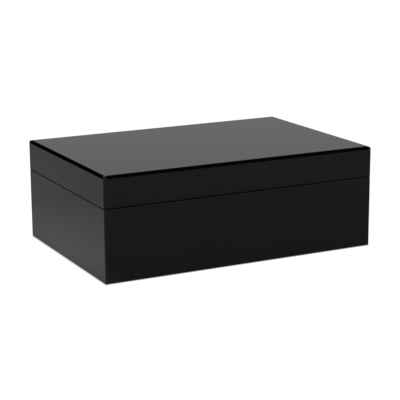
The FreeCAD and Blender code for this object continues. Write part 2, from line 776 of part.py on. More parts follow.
def tray_side_board(x0):
    """Left or right board of the tray, with its fingers and a grip hole."""
    x1 = x0 + TRAY_BOARD
    board = block(x0, x1, TRAY_FRONT, TRAY_BACK, TRAY_BOTTOM, TRAY_TOP)
    cutters = [tray_floor_space(0)]
    for z0, z1 in finger_levels(0):
        cutters.append(block(x0, x1, TRAY_FRONT, TRAY_FRONT + TRAY_BOARD, z0, z1))
        cutters.append(block(x0, x1, TRAY_BACK - TRAY_BOARD, TRAY_BACK, z0, z1))
    radius = GRIP_HEIGHT / 2
    half = GRIP_LENGTH / 2 - radius
    grip_z = TRAY_TOP - GRIP_BELOW_EDGE - radius
    grip = slot(V(x0, Y_MIDDLE - half, grip_z), V(x0, Y_MIDDLE + half, grip_z), radius, V(TRAY_BOARD, 0, 0))
    return without(board, cutters + [grip])


def tray_slats():
    """Slatted floor of the tray, which lets the air through."""
    space = tray_floor_space(SLAT_PLAY).BoundBox
    width = (space.YLength - SLAT_GAP * (SLAT_COUNT - 1)) / SLAT_COUNT
    slats = []
    for index in range(SLAT_COUNT):
        y0 = space.YMin + index * (width + SLAT_GAP)
        slats.append(block(space.XMin, space.XMax, y0, y0 + width, space.ZMin, space.ZMax))
    return Part.makeCompound(slats)


def divider(x, y0, y1, z0, z1):
    """Thin board across the box with eased edges and a notch for a finger."""
    half = DIVIDER_THICKNESS / 2
    board = block(x - half, x + half, y0, y1, z0, z1)
    edges = []
    for edge in board.Edges:
        if edge.BoundBox.YLength > BOX_DEPTH / 2 and abs(edge.BoundBox.ZMax - z1) < TOUCH:
            edges.append(edge)
    board = board.makeChamfer(DIVIDER_CHAMFER, edges)
    notch = crosswise(Y_MIDDLE, z1, DIVIDER_NOTCH_RADIUS, x - half, x + half)
    return board.cut(notch)


def tray():
    """Tray with finger-jointed boards, a slatted floor and a loose divider."""
    middle_x = (TRAY_LEFT + TRAY_RIGHT) / 2
    slat_top = TRAY_BOTTOM + TRAY_GROOVE_UP + SLAT_THICKNESS
    inset = TRAY_BOARD + DIVIDER_PLAY
    loose = divider(
        middle_x, TRAY_FRONT + inset, TRAY_BACK - inset, slat_top + RUN_PLAY, TRAY_TOP - DIVIDER_BELOW_EDGE
    )
    return {
        "tray_front_board": tray_end_board(TRAY_FRONT),
        "tray_back_board": tray_end_board(TRAY_BACK - TRAY_BOARD),
        "tray_left_board": tray_side_board(TRAY_LEFT),
        "tray_right_board": tray_side_board(TRAY_RIGHT - TRAY_BOARD),
        "tray_floor_slats": tray_slats(),
        "tray_divider": loose,
    }


def floor_divider():
    """Divider of the lower room, notched at its upper corners to pass the cleats."""
    y0 = INNER_FRONT + DIVIDER_PLAY
    y1 = INNER_BACK - DIVIDER_PLAY
    top = CLEAT_TOP - RUN_PLAY
    board = divider(FLOOR_DIVIDER_X, y0, y1, FLOOR_Z + RUN_PLAY, top)
    notch_z = CLEAT_TOP - CLEAT_HEIGHT - DIVIDER_PLAY
    reach = CLEAT_WIDTH + DIVIDER_PLAY
    x0 = FLOOR_DIVIDER_X - DIVIDER_THICKNESS
    x1 = FLOOR_DIVIDER_X + DIVIDER_THICKNESS
    front = block(x0, x1, INNER_FRONT - MARGIN, INNER_FRONT + reach, notch_z, top + MARGIN)
    back = block(x0, x1, INNER_BACK - reach, INNER_BACK + MARGIN, notch_z, top + MARGIN)
    return {"floor_divider": without(board, [front, back])}


def main():
    """Build every node and write it to its own file."""
    os.makedirs("parts", exist_ok=True)
    groups = (
        case_panels,
        case_floor,
        case_lining,
        cleats,
        hinges,
        lid_panels,
        lid_lining,
        mounting_plates,
        hygrometer,
        humidifier,
        tray,
        floor_divider,
    )
    for group in groups:
        for name, shape in group().items():
            shape.exportStep("parts/" + name + ".step")


main()
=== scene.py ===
"""Dress the humidor in lacquer, cedar and brass, and light it as it was photographed."""

import json
import logging
import math
from dataclasses import dataclass
from enum import Enum
from typing import ClassVar, Iterable, Sequence

import bmesh
import bpy
from mathutils import Matrix, Vector, noise

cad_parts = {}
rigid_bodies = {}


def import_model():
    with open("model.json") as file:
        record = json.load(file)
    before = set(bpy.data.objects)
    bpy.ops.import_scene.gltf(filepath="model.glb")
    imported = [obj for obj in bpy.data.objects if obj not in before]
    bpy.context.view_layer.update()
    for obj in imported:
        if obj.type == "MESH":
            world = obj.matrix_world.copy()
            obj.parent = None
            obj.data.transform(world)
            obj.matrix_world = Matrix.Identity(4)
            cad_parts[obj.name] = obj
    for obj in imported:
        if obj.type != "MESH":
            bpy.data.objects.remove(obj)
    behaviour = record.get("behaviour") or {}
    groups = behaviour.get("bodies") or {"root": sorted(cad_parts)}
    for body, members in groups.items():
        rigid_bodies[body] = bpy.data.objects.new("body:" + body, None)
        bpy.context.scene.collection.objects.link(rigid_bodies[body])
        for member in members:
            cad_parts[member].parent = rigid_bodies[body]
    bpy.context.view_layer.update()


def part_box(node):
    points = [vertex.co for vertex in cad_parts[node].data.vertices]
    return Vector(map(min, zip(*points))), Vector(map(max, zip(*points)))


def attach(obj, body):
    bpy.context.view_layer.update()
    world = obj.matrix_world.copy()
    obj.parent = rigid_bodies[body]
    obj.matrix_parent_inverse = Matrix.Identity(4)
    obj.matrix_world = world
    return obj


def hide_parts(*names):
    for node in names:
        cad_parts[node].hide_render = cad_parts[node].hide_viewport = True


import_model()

log = logging.getLogger("humidor")

Colour = tuple[float, float, float]
Point = tuple[float, float, float]
Pair = tuple[float, float]
Sockets = ClassVar[dict[str, object]]
Socket = bpy.types.NodeSocket
Material = bpy.types.Material
Piece = bpy.types.Object
Shape = bmesh.types.BMesh
Face = bmesh.types.BMFace
Edge = bmesh.types.BMEdge
Vertex = bmesh.types.BMVert

MM = 0.001
FULL = (0.0, 1.0)
BLACK = (0.0, 0.0, 0.0)
WHITE = (1.0, 1.0, 1.0)

# Distances in metres within which points count as one
CUT_SLACK = 1e-7
MERGE_REACH = 5e-6
POLE_REACH = 1e-6


class Grain(Enum):
    """Axis along which the wood grain of a board runs."""

    ALONG_X = 0
    ALONG_Y = 1


class Drive(Enum):
    """Direction in which a screw goes into its hole."""

    DOWN = -1
    UP = 1


class Step(Enum):
    """How a value passes from one end of a range to the other."""

    EVEN = "LINEAR"
    SOFT = "SMOOTHSTEP"


@dataclass(frozen=True)
class Pattern:
    """Fractal noise: scale, octaves, share of the fine octaves, and stretch along each axis."""

    scale: float
    detail: float = 4.0
    roughness: float = 0.55
    stretch: Point = (1.0, 1.0, 1.0)


class Tree:
    """A node tree with short ways to add and join nodes."""

    def __init__(self, tree: bpy.types.NodeTree) -> None:
        """Take the tree to work on."""
        self.tree = tree

    def add(self, kind: str, **settings: object) -> bpy.types.Node:
        """Add a node.

        Args:
            kind: Blender's type name for the node.
            settings: Properties of the node, or socket values by socket name.

        Returns:
            The new node.
        """
        node = self.tree.nodes.new(kind)
        for key, value in settings.items():
            if hasattr(node, key):
                setattr(node, key, value)
            else:
                node.inputs[key.replace("_", " ")].default_value = value
        return node

    def feed(self, target: Socket, value: Socket | Colour | float) -> None:
        """Link an output to an input, or set the input to a plain colour or number.

        Args:
            target: The input.
            value: What it gets.
        """
        if isinstance(value, bpy.types.NodeSocket):
            self.tree.links.new(value, target)
        else:
            target.default_value = (*value, 1.0) if isinstance(value, tuple) else value

    def ramp(self, value: Socket, stops: Sequence[tuple[float, Colour]]) -> Socket:
        """Colours along a grey value.

        Args:
            value: The grey value to read.
            stops: Positions and their colours.

        Returns:
            The colour output.
        """
        made = self.add("ShaderNodeValToRGB")
        elements = made.color_ramp.elements
        while len(elements) < len(stops):
            elements.new(0.5)
        for element, (position, colour) in zip(elements, stops):
            element.position = position
            element.color = (*colour, 1.0)
        self.feed(made.inputs["Fac"], value)
        return made.outputs["Color"]

    def remap(self, value: Socket, reach: Pair, result: Pair, step: Step = Step.EVEN) -> Socket:
        """Turn one range of a grey value into another.

        Args:
            value: The grey value to read.
            reach: Values where the change starts and ends.
            result: What comes out at the start and at the end.
            step: How it passes from one to the other.

        Returns:
            The remapped value.
        """
        made = self.add("ShaderNodeMapRange", interpolation_type=step.value)
        names = ("From Min", "From Max", "To Min", "To Max")
        for socket, number in zip(names, (*reach, *result)):
            made.inputs[socket].default_value = number
        self.feed(made.inputs["Value"], value)
        return made.outputs["Result"]

    def maths(self, operation: str, first: Socket, second: Socket | float = 0.0) -> Socket:
        """One arithmetic step.

        Args:
            operation: Blender's name of the operation.
            first: The first value.
            second: The second value, as an output or a number.

        Returns:
            The result.
        """
        made = self.add("ShaderNodeMath", operation=operation)
        self.feed(made.inputs[0], first)
        self.feed(made.inputs[1], second)
        return made.outputs["Value"]

    def blend(self, kind: str, share: Socket | float, first: Socket, second: Socket | Colour
              ) -> Socket:
        """Mix two colours.

        Args:
            kind: Blend type, such as MIX or MULTIPLY.
            share: Share of the second colour, as an output or a number.
            first: The first colour.
            second: The second colour, as an output or a plain colour.

        Returns:
            The mixed colour.
        """
        made = self.add("ShaderNodeMix", data_type="RGBA", blend_type=kind)
        colours = [socket for socket in made.inputs if socket.type == "RGBA"]
        self.feed(made.inputs[0], share)
        self.feed(colours[0], first)
        self.feed(colours[1], second)
        return next(socket for socket in made.outputs if socket.type == "RGBA")

    def parts(self, vector: Socket) -> list[Socket]:
        """The X, Y and Z of a vector."""
        made = self.add("ShaderNodeSeparateXYZ")
        self.feed(made.inputs["Vector"], vector)
        return list(made.outputs)

    def distance(self, place: Socket, centre: Sequence[float]) -> Socket:
        """Distance of a place from a fixed centre."""
        made = self.add("ShaderNodeVectorMath", operation="DISTANCE")
        self.feed(made.inputs[0], place)
        made.inputs[1].default_value = centre
        return made.outputs["Value"]


class Nodes(Tree):
    """A material's node tree around its principled shader."""

    def __init__(self, name: str, **values: object) -> None:
        """Start a material.

        Args:
            name: Name of the material.
            values: Plain values for the shader's own sockets, underscores for spaces.
        """
        self.material = bpy.data.materials.new(name)
        self.material.use_nodes = True
        super().__init__(self.material.node_tree)
        self.shader = next(n for n in self.tree.nodes if n.type == "BSDF_PRINCIPLED")
        for key, value in values.items():
            self.shader.inputs[key.replace("_", " ")].default_value = value

    def shade(self, socket: str, value: Socket) -> None:
        """Feed one of the shader's inputs."""
        self.feed(self.shader.inputs[socket], value)

    def coordinates(self, scale: Point = (1, 1, 1), offset: Point = (0, 0, 0)) -> Socket:
        """Object coordinates, stretched and moved.

        Args:
            scale: Scale along each axis.
            offset: Offset along each axis.

        Returns:
            The vector output to read patterns with.
        """
        where = self.add("ShaderNodeTexCoord")
        mapping = self.add("ShaderNodeMapping", Scale=scale, Location=offset)
        self.feed(mapping.inputs["Vector"], where.outputs["Object"])
        return mapping.outputs["Vector"]

    def noise(self, pattern: Pattern, offset: Point = (0, 0, 0)) -> Socket:
        """Fractal noise on object coordinates.

        Args:
            pattern: What the noise is like.
            offset: Where in the noise the object lies.

        Returns:
            The grey output.
        """
        made = self.add("ShaderNodeTexNoise", Scale=pattern.scale, Detail=pattern.detail,
                        Roughness=pattern.roughness)
        self.feed(made.inputs["Vector"], self.coordinates(pattern.stretch, offset))
        return made.outputs["Fac"]

    def relief(self, height: Socket, strength: float, rise_mm: float, socket: str = "Normal"
               ) -> None:
        """Bump the surface by a height.

        Args:
            height: The height pattern.
            strength: Strength of the bump.
            rise_mm: Height of the pattern in millimetres.
            socket: Which of the shader's normals is bumped.
        """
        bump = self.add("ShaderNodeBump", Strength=strength, Distance=rise_mm * MM)
        self.feed(bump.inputs["Height"], height)
        self.shade(socket, bump.outputs["Normal"])


def tinted(colour: Colour, tone: float) -> Colour:
    """A colour made lighter or darker."""
    return tuple(tone * part for part in colour)


@dataclass(frozen=True)
class Finish:
    """A mottled colour, with a finer pattern in its gloss and relief.

    The colour is multiplied by the two tones where the cloud passes the two stops. Without a
    fine pattern the cloud serves for gloss and relief too. The bump is a strength and a height
    in millimetres.
    """

    name: str = ""
    colour: Colour = WHITE
    cloud: Pattern = Pattern(100.0)
    stops: Pair = (0.3, 0.7)
    tones: Pair = (1.0, 1.0)
    fine: Pattern | None = None
    rough: Pair | None = None
    bump: Pair = (0.1, 0.01)
    sockets: Sockets = {}

    def mottling(self, nodes: Nodes) -> Socket:
        """The pattern in the colour."""
        return nodes.noise(self.cloud)

    def start(self) -> tuple[Nodes, Socket]:
        """Start the material with its mottled colour.

        Returns:
            The node tree and the pattern in the colour.
        """
        nodes = Nodes(self.name, **self.sockets)
        cloud = self.mottling(nodes)
        stops = [(at, tinted(self.colour, tone)) for at, tone in zip(self.stops, self.tones)]
        nodes.shade("Base Color", nodes.ramp(cloud, stops))
        return nodes, cloud

    def make(self) -> Material:
        """Make the material."""
        nodes, cloud = self.start()
        fine = nodes.noise(self.fine) if self.fine else cloud
        if self.rough:
            nodes.shade("Roughness", nodes.remap(fine, FULL, self.rough))
        nodes.relief(fine, *self.bump)
        return nodes.material


@dataclass(frozen=True)
class LacquerFinish(Finish):
    """Black ground under a clear lacquer, rubbed and polished to a mirror."""

    name: str = "black_lacquer"
    colour: Colour = (0.0007, 0.0007, 0.00075)
    cloud: Pattern = Pattern(14.0, 3.0)
    stops: Pair = (0.35, 0.7)
    tones: Pair = (1.0, 1.6)
    fine: Pattern = Pattern(60.0, 5.0)
    rough: Pair = (0.02, 0.045)
    bump: Pair = (0.05, 0.004)
    swell: Pattern = Pattern(90.0, 2.0)
    sockets: Sockets = {
        "Metallic": 0.0, "Roughness": 0.6, "Specular_IOR_Level": 0.0, "Coat_Weight": 1.0,
        "Coat_IOR": 1.5,
    }

    def make(self) -> Material:
        """Make the material, with the gloss and the faint swell in the clear coat."""
        nodes, _ = self.start()
        nodes.shade("Coat Roughness", nodes.remap(nodes.noise(self.fine), FULL, self.rough))
        nodes.relief(nodes.noise(self.swell), *self.bump, "Coat Normal")
        return nodes.material


@dataclass(frozen=True)
class CedarFinish:
    """Sanded, unfinished Spanish cedar.

    Figure, streaks and pores are noises that follow the grain: each has its scale, octaves,
    roughness, and how closely it lies along and across the grain.
    """

    grain: Grain
    shift: float = 0.0
    drift: Point = (0.83, 0.59, 0.71)
    figure: tuple[float, ...] = (1.6, 3.0, 0.5, 2.2, 34.0)
    streaks: tuple[float, ...] = (1.5, 5.0, 0.62, 6.0, 420.0)
    pores: tuple[float, ...] = (1.0, 2.0, 0.5, 60.0, 2600.0)
    clouds: Pattern = Pattern(1.0, 2.0, stretch=(9, 9, 9))
    pale: Colour = (0.56, 0.29, 0.150)
    middle: Colour = (0.46, 0.215, 0.102)
    dark: Colour = (0.30, 0.125, 0.055)
    streak: Colour = (0.62, 0.55, 0.5)
    stain: Colour = (0.86, 0.82, 0.8)
    rough: Pair = (0.72, 0.5)
    bump: Pair = (0.35, 0.12)

    def along_grain(self, numbers: tuple[float, ...]) -> Pattern:
        """Pattern with its long direction along the grain."""
        *start, along, across = numbers
        stretch = [across, across, across]
        stretch[self.grain.value] = along
        return Pattern(*start, tuple(stretch))

    def make(self) -> Material:
        """Make the material."""
        nodes = Nodes(f"cedar_{self.grain.name.lower()}_{round(self.shift * 10)}",
                      Specular_IOR_Level=0.32)
        offset = tuple(self.shift * part for part in self.drift)
        figure, streaks, pores = (nodes.noise(self.along_grain(numbers), offset)
                                  for numbers in (self.figure, self.streaks, self.pores))
        clouds = nodes.noise(self.clouds, offset)
        colour = nodes.ramp(figure, ((0.30, self.dark), (0.44, self.middle), (0.60, self.pale)))
        shade = nodes.ramp(streaks, ((0.36, self.streak), (0.56, WHITE)))
        colour = nodes.blend("MULTIPLY", 0.55, colour, shade)
        mask = nodes.ramp(pores, ((0.60, BLACK), (0.70, WHITE)))
        colour = nodes.blend("MIX", mask, colour, tinted(self.dark, 0.5))
        shade = nodes.ramp(clouds, ((0.3, self.stain), (0.7, WHITE)))
        nodes.shade("Base Color", nodes.blend("MULTIPLY", 0.5, colour, shade))
        nodes.shade("Roughness", nodes.remap(streaks, FULL, self.rough))
        nodes.relief(streaks, *self.bump)
        return nodes.material


def rubbing(*marks: float) -> Pattern:
    """Fine rubbing marks, given by how closely they lie along each axis."""
    return Pattern(1.0, 4.0, 0.6, marks)


@dataclass(frozen=True)
class MetalFinish(Finish):
    """Bare or plated metal with tarnish and fine rubbing marks."""

    cloud: Pattern = Pattern(130.0)
    stops: Pair = (0.32, 0.55)
    tones: Pair = (0.65, 1.0)
    fine: Pattern = rubbing(700.0, 90.0, 700.0)
    rough: Pair = (0.16, 0.3)
    bump: Pair = (0.15, 0.01)
    sockets: Sockets = {"Metallic": 1.0}


@dataclass(frozen=True)
class PlasticFinish(Finish):
    """Moulded plastic with a fine spark-eroded texture."""

    name: str = "moulded_black_plastic"
    colour: Colour = (0.014, 0.014, 0.015)
    cloud: Pattern = Pattern(45.0, 3.0)
    tones: Pair = (1.0, 1.5)
    fine: Pattern = Pattern(2400.0, 2.0, 0.6)
    rough: Pair = (0.42, 0.62)
    bump: Pair = (0.4, 0.03)
    sockets: Sockets = {"IOR": 1.46}


@dataclass(frozen=True)
class FoamFinish(Finish):
    """Open-cell foam, its colour darkened at the middle of each cell as painted shade in the
    pores.
    """

    name: str = "open_cell_foam"
    colour: Colour = (0.05, 0.13, 0.065)
    stops: Pair = (0.15, 0.5)
    tones: Pair = (0.25, 1.0)
    bump: Pair = (0.8, 0.4)
    cells_per_metre: float = 900.0
    sockets: Sockets = {"Roughness": 0.95, "Specular_IOR_Level": 0.15}

    def mottling(self, nodes: Nodes) -> Socket:
        """The cells of the foam, whose middles darken the colour as painted shade in the pores."""
        cells = nodes.add("ShaderNodeTexVoronoi", feature="F1", Scale=self.cells_per_metre)
        nodes.feed(cells.inputs["Vector"], nodes.coordinates())
        return cells.outputs["Distance"]


@dataclass(frozen=True)
class FeltFinish(Finish):
    """Pressed wool felt."""

    name: str = "black_felt"
    colour: Colour = (0.012, 0.012, 0.013)
    cloud: Pattern = Pattern(1500.0, 5.0, 0.7)
    stops: Pair = (0.3, 0.75)
    tones: Pair = (1.0, 2.6)
    bump: Pair = (0.7, 0.25)
    sockets: Sockets = {
        "Roughness": 1.0, "Specular_IOR_Level": 0.1, "Sheen_Weight": 0.35,
        "Sheen_Roughness": 0.6,
    }


@dataclass(frozen=True)
class FibreboardFinish(Finish):
    """Bare medium-density fibreboard."""

    name: str = "fibreboard"
    colour: Colour = (0.30, 0.19, 0.105)
    cloud: Pattern = Pattern(1100.0, 5.0, 0.7)
    stops: Pair = (0.35, 0.68)
    tones: Pair = (1.0, 1.4)
    rough: Pair = (0.7, 0.92)
    bump: Pair = (0.3, 0.05)
    sockets: Sockets = {"Specular_IOR_Level": 0.25}


@dataclass(frozen=True)
class EnamelFinish(Finish):
    """Printed or enamelled paint on the dial and its pointer."""

    cloud: Pattern = Pattern(900.0, 3.0)
    stops: Pair = (0.35, 0.6)
    tones: Pair = (0.93, 1.0)
    rough: Pair = (0.35, 0.5)
    sockets: Sockets = {"Specular_IOR_Level": 0.4}


@dataclass(frozen=True)
class GlassFinish:
    """Clear flat glass with faint wiping marks."""

    name: str = "clear_glass"
    colour: Colour = (0.97, 0.985, 0.98)
    wiped: Pattern = Pattern(1.0, stretch=(60, 20, 60))
    rough: Pair = (0.0, 0.03)

    def make(self) -> Material:
        """Make the material."""
        nodes = Nodes(self.name, Base_Color=(*self.colour, 1.0), Transmission_Weight=1.0, IOR=1.45)
        nodes.shade("Roughness", nodes.remap(nodes.noise(self.wiped), FULL, self.rough))
        return nodes.material


def in_scene(name: str, data: bpy.types.ID) -> Piece:
    """Put a mesh, lamp, camera or text into the scene as an object."""
    made = bpy.data.objects.new(name, data)
    bpy.context.scene.collection.objects.link(made)
    return made


def weigh_normals(mesh: bpy.types.Mesh, smooth_deg: float) -> None:
    """Shade every corner by the faces that meet there smoothly, the largest counting most.

    Args:
        mesh: The mesh to shade.
        smooth_deg: Faces that turn more than this aren't smooth with each other.
    """
    limit = math.cos(math.radians(smooth_deg))
    faces = [(face.normal.copy(), face.area, face.vertices[:], face.loop_indices[:])
             for face in mesh.polygons]
    around = [[] for _ in mesh.vertices]
    for face in faces:
        for vertex in face[2]:
            around[vertex].append(face)
    normals = [Vector((0, 0, 1))] * len(mesh.loops)
    for normal, _, vertices, loops in faces:
        for vertex, loop in zip(vertices, loops):
            total = Vector()
            for other in around[vertex]:
                if other[0].dot(normal) > limit:
                    total += other[0] * other[1]
            normals[loop] = total.normalized() if total.length > 0 else normal
    mesh.normals_split_custom_set(normals)


def finished(name: str, shape: Shape, material: Material, smooth_deg: float = 32.0) -> Piece:
    """Turn a shape into an object in the scene.

    Args:
        name: Name of the piece.
        shape: The shape, which is freed.
        material: Its material.
        smooth_deg: Edges sharper than this stay sharp.

    Returns:
        The new object, at the origin.
    """
    bmesh.ops.recalc_face_normals(shape, faces=shape.faces)
    mesh = bpy.data.meshes.new(name)
    shape.to_mesh(mesh)
    shape.free()
    mesh.shade_smooth()
    mesh.set_sharp_from_angle(angle=math.radians(smooth_deg))
    weigh_normals(mesh, smooth_deg)
    mesh.materials.append(material)
    log.info("%s: %d faces", name, len(mesh.polygons))
    return in_scene(name, mesh)


def ease(shape: Shape, edges: Sequence[Edge], width_mm: float, steps: int, clamp: bool = False
         ) -> list[Vertex]:
    """Round some edges of a shape, and return the vertices that this makes."""
    return bmesh.ops.bevel(shape, geom=edges, offset=width_mm * MM, segments=steps, profile=0.5,
                           affect="EDGES", material=-1, clamp_overlap=clamp)["verts"]


def cut(shape: Shape, faces: Iterable[Face], place: Vector, normal: Vector) -> None:
    """Cut faces of a shape along a plane.

    Args:
        shape: The shape.
        faces: The faces to cut.
        place: A point of the plane, in metres.
        normal: The plane's normal.
    """
    faces = set(faces)
    edges = {edge for face in faces for edge in face.edges}
    verts = {vert for face in faces for vert in face.verts}
    bmesh.ops.bisect_plane(shape, geom=[*verts, *edges, *faces], dist=CUT_SLACK, plane_co=place,
                           plane_no=normal)


def pull(shape: Shape, faces: Iterable[Face], height: float, keep: bool = False) -> list[Vertex]:
    """Pull faces of a shape up or down, with walls after them.

    Args:
        shape: The shape.
        faces: The faces.
        height: How far up, in metres.
        keep: Whether a copy of the faces stays behind.

    Returns:
        The vertices that moved.
    """
    made = bmesh.ops.extrude_face_region(shape, geom=list(faces), use_keep_orig=keep)["geom"]
    moved = [item for item in made if isinstance(item, Vertex)]
    bmesh.ops.translate(shape, verts=moved, vec=(0, 0, height))
    return moved


def add_bar(shape: Shape, low: Point, high: Point, ease_mm: float = 0.0, steps: int = 2
            ) -> list[Vertex]:
    """Add a bar between two corners.

    Args:
        shape: The shape to add to.
        low: Lowest corner in millimetres.
        high: Highest corner in millimetres.
        ease_mm: Width of the easing on its edges, in millimetres.
        steps: Segments of the easing.

    Returns:
        The bar's vertices.
    """
    centre = Vector([(a + b) / 2 for a, b in zip(low, high)]) * MM
    size = Vector([b - a for a, b in zip(low, high)]) * MM
    placed = Matrix.Translation(centre) @ Matrix.Diagonal((*size, 1.0))
    verts = bmesh.ops.create_cube(shape, size=1.0, matrix=placed)["verts"]
    if ease_mm <= 0:
        return verts
    edges = list({edge for vert in verts for edge in vert.link_edges})
    eased = ease(shape, edges, ease_mm, steps)
    return list({*eased, *(vert for vert in verts if vert.is_valid)})


def add_turned(shape: Shape, profile: Sequence[Pair], centre: Pair, steps: int) -> list[Vertex]:
    """Add a shape turned about an upright axis.

    Args:
        shape: The shape to add to.
        profile: (radius, height) points in millimetres, heights in the frame.
        centre: Place of the axis in millimetres.
        steps: Steps of the full turn.

    Returns:
        The new vertices.
    """
    before = set(shape.verts)
    x, y = centre
    verts = [shape.verts.new(Vector((x + radius, y, z)) * MM) for radius, z in profile]
    edges = [shape.edges.new(pair) for pair in zip(verts, verts[1:])]
    bmesh.ops.spin(shape, geom=[*verts, *edges], cent=Vector((x, y, 0)) * MM, axis=(0, 0, 1),
                   dvec=(0, 0, 0), angle=2 * math.pi, steps=steps, use_merge=True,
                   use_duplicate=False)
    made = [vert for vert in shape.verts if vert not in before]
    bmesh.ops.remove_doubles(shape, verts=made, dist=POLE_REACH)
    return [vert for vert in shape.verts if vert not in before]


def merged_copy(nodes: Iterable[str]) -> Shape:
    """Copy CAD nodes into one shape with shared corners."""
    shape = bmesh.new()
    for name in nodes:
        shape.from_mesh(bpy.data.objects[name].data)
    bmesh.ops.remove_doubles(shape, verts=shape.verts, dist=MERGE_REACH)
    return shape


def dress(names: Iterable[str], material: Material) -> None:
    """Give CAD nodes a material."""
    for name in names:
        mesh = bpy.data.objects[name].data
        mesh.materials.clear()
        mesh.materials.append(material)


def eased_copy(node: str, body: str, material: Material, width_mm: float) -> Piece:
    """Stand a copy of a CAD node in its place, with its sharp edges broken.

    Args:
        node: Name of the node.
        body: The body that it rides on.
        material: The copy's material.
        width_mm: Width of the easing in millimetres.

    Returns:
        The new piece.
    """
    flat, sharp = math.radians(0.5), math.radians(35)
    shape = merged_copy([node])
    bmesh.ops.dissolve_limit(shape, angle_limit=flat, verts=shape.verts, edges=shape.edges)
    edges = [edge for edge in shape.edges
             if len(edge.link_faces) == 2 and edge.calc_face_angle(0) > sharp]
    ease(shape, edges, width_mm, 2, clamp=True)
    piece = finished(f"{node}_eased", shape, material)
    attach(piece, body)
    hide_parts(node)
    return piece


@dataclass
class Lacquerwork:
    """The lacquered box: each half one unbroken coat over its mitred boards."""

    case_boards: tuple[str, ...] = ("case_front_panel", "case_right_panel", "case_back_panel",
                                    "case_left_panel")
    lid_rails: tuple[str, ...] = ("lid_front_rail", "lid_right_rail", "lid_back_rail",
                                  "lid_left_rail")
    lid_top: str = "lid_top_panel"
    half_width: float = 170.0
    half_depth: float = 115.0
    middle_y: float = -1.55
    top_joint_z: float = 110.0
    bores_within: float = 140.0
    bores_below: float = 119.0
    corner_reach: float = 4.0
    slack: float = 0.02
    square: float = 0.9999
    weld_reach: float = 1e-5
    flat_deg: float = 0.3
    smooth_deg: float = 50.0
    finish: LacquerFinish = LacquerFinish()

    def on_mitre(self, place: Vector) -> bool:
        """Whether a point lies as far inside the box's side as inside its front or back."""
        across = self.half_width - abs(place.x / MM)
        along = self.half_depth - abs(place.y / MM - self.middle_y)
        return abs(across - along) < self.slack

    def in_mitre(self, face: Face) -> bool:
        """Whether a face lies in a mitre between two boards."""
        places = [face.calc_center_median(), *(vert.co for vert in face.verts)]
        return all(self.on_mitre(place) for place in places)

    def in_top_joint(self, face: Face) -> bool:
        """Whether a face lies between the top panel and the rails."""
        return all(abs(vert.co.z / MM - self.top_joint_z) < self.slack for vert in face.verts)

    def in_bore(self, face: Face) -> bool:
        """Whether a face belongs to a blind screw hole in the top panel."""
        places = [vert.co / MM for vert in face.verts]
        return all(abs(p.x) < self.bores_within and p.z < self.bores_below for p in places)

    def cut_at_mitres(self, shape: Shape) -> None:
        """Cut a shape along the planes of the four mitres."""
        for side_x in (-1, 1):
            for side_y in (-1, 1):
                corner = (side_x * self.half_width, self.middle_y + side_y * self.half_depth, 0)
                normal = Vector((side_y, -side_x, 0)).normalized()
                cut(shape, shape.faces, Vector(corner) * MM, normal)

    def cut_near_corners(self, shape: Shape) -> None:
        """Cut the long round edges short of the corners, so that only their ends turn there."""
        halves = ((0, self.half_width, 0.0), (1, self.half_depth, self.middle_y))
        for axis, half, middle in halves:
            for side in (-1, 1):
                place, normal = Vector(), Vector()
                place[axis] = (middle + side * (half - self.corner_reach)) * MM
                normal[axis] = 1.0
                rounds = [face for face in shape.faces if max(map(abs, face.normal)) < self.square]
                cut(shape, rounds, place, normal)

    def close(self, shape: Shape) -> None:
        """Weld the boards, fill what their joints left open and merge flat triangles."""
        bmesh.ops.remove_doubles(shape, verts=shape.verts, dist=self.weld_reach)
        rims = [edge for edge in shape.edges if edge.is_boundary]
        if rims:
            bmesh.ops.holes_fill(shape, edges=rims, sides=0)
        for edge in shape.edges:
            edge.seam = all(self.on_mitre(vert.co) for vert in edge.verts)
        bmesh.ops.dissolve_limit(shape, angle_limit=math.radians(self.flat_deg),
                                 verts=shape.verts, edges=shape.edges, delimit={"SEAM"})
        shape.normal_update()
        self.cut_near_corners(shape)

    def build_case(self, material: Material) -> None:
        """Build the coat of the lower half."""
        shape = merged_copy(self.case_boards)
        joints = [face for face in shape.faces if self.in_mitre(face)]
        bmesh.ops.delete(shape, geom=joints, context="FACES")
        self.close(shape)
        piece = finished("case_lacquer_coat", shape, material, self.smooth_deg)
        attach(piece, "case")
        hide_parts(*self.case_boards)

    def build_lid(self, material: Material) -> None:
        """Build the coat of the lid, its rails and top in one."""
        shape = merged_copy([self.lid_top])
        bores = [face for face in shape.faces if self.in_bore(face) or self.in_top_joint(face)]
        bmesh.ops.delete(shape, geom=bores, context="FACES")
        self.cut_at_mitres(shape)
        for name in self.lid_rails:
            shape.from_mesh(bpy.data.objects[name].data)
        joints = [face for face in shape.faces if self.in_mitre(face) or self.in_top_joint(face)]
        bmesh.ops.delete(shape, geom=joints, context="FACES")
        self.close(shape)
        piece = finished("lid_lacquer_coat", shape, material, self.smooth_deg)
        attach(piece, "lid")
        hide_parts(self.lid_top, *self.lid_rails)

    def build(self) -> None:
        """Build both coats."""
        material = self.finish.make()
        self.build_case(material)
        self.build_lid(material)


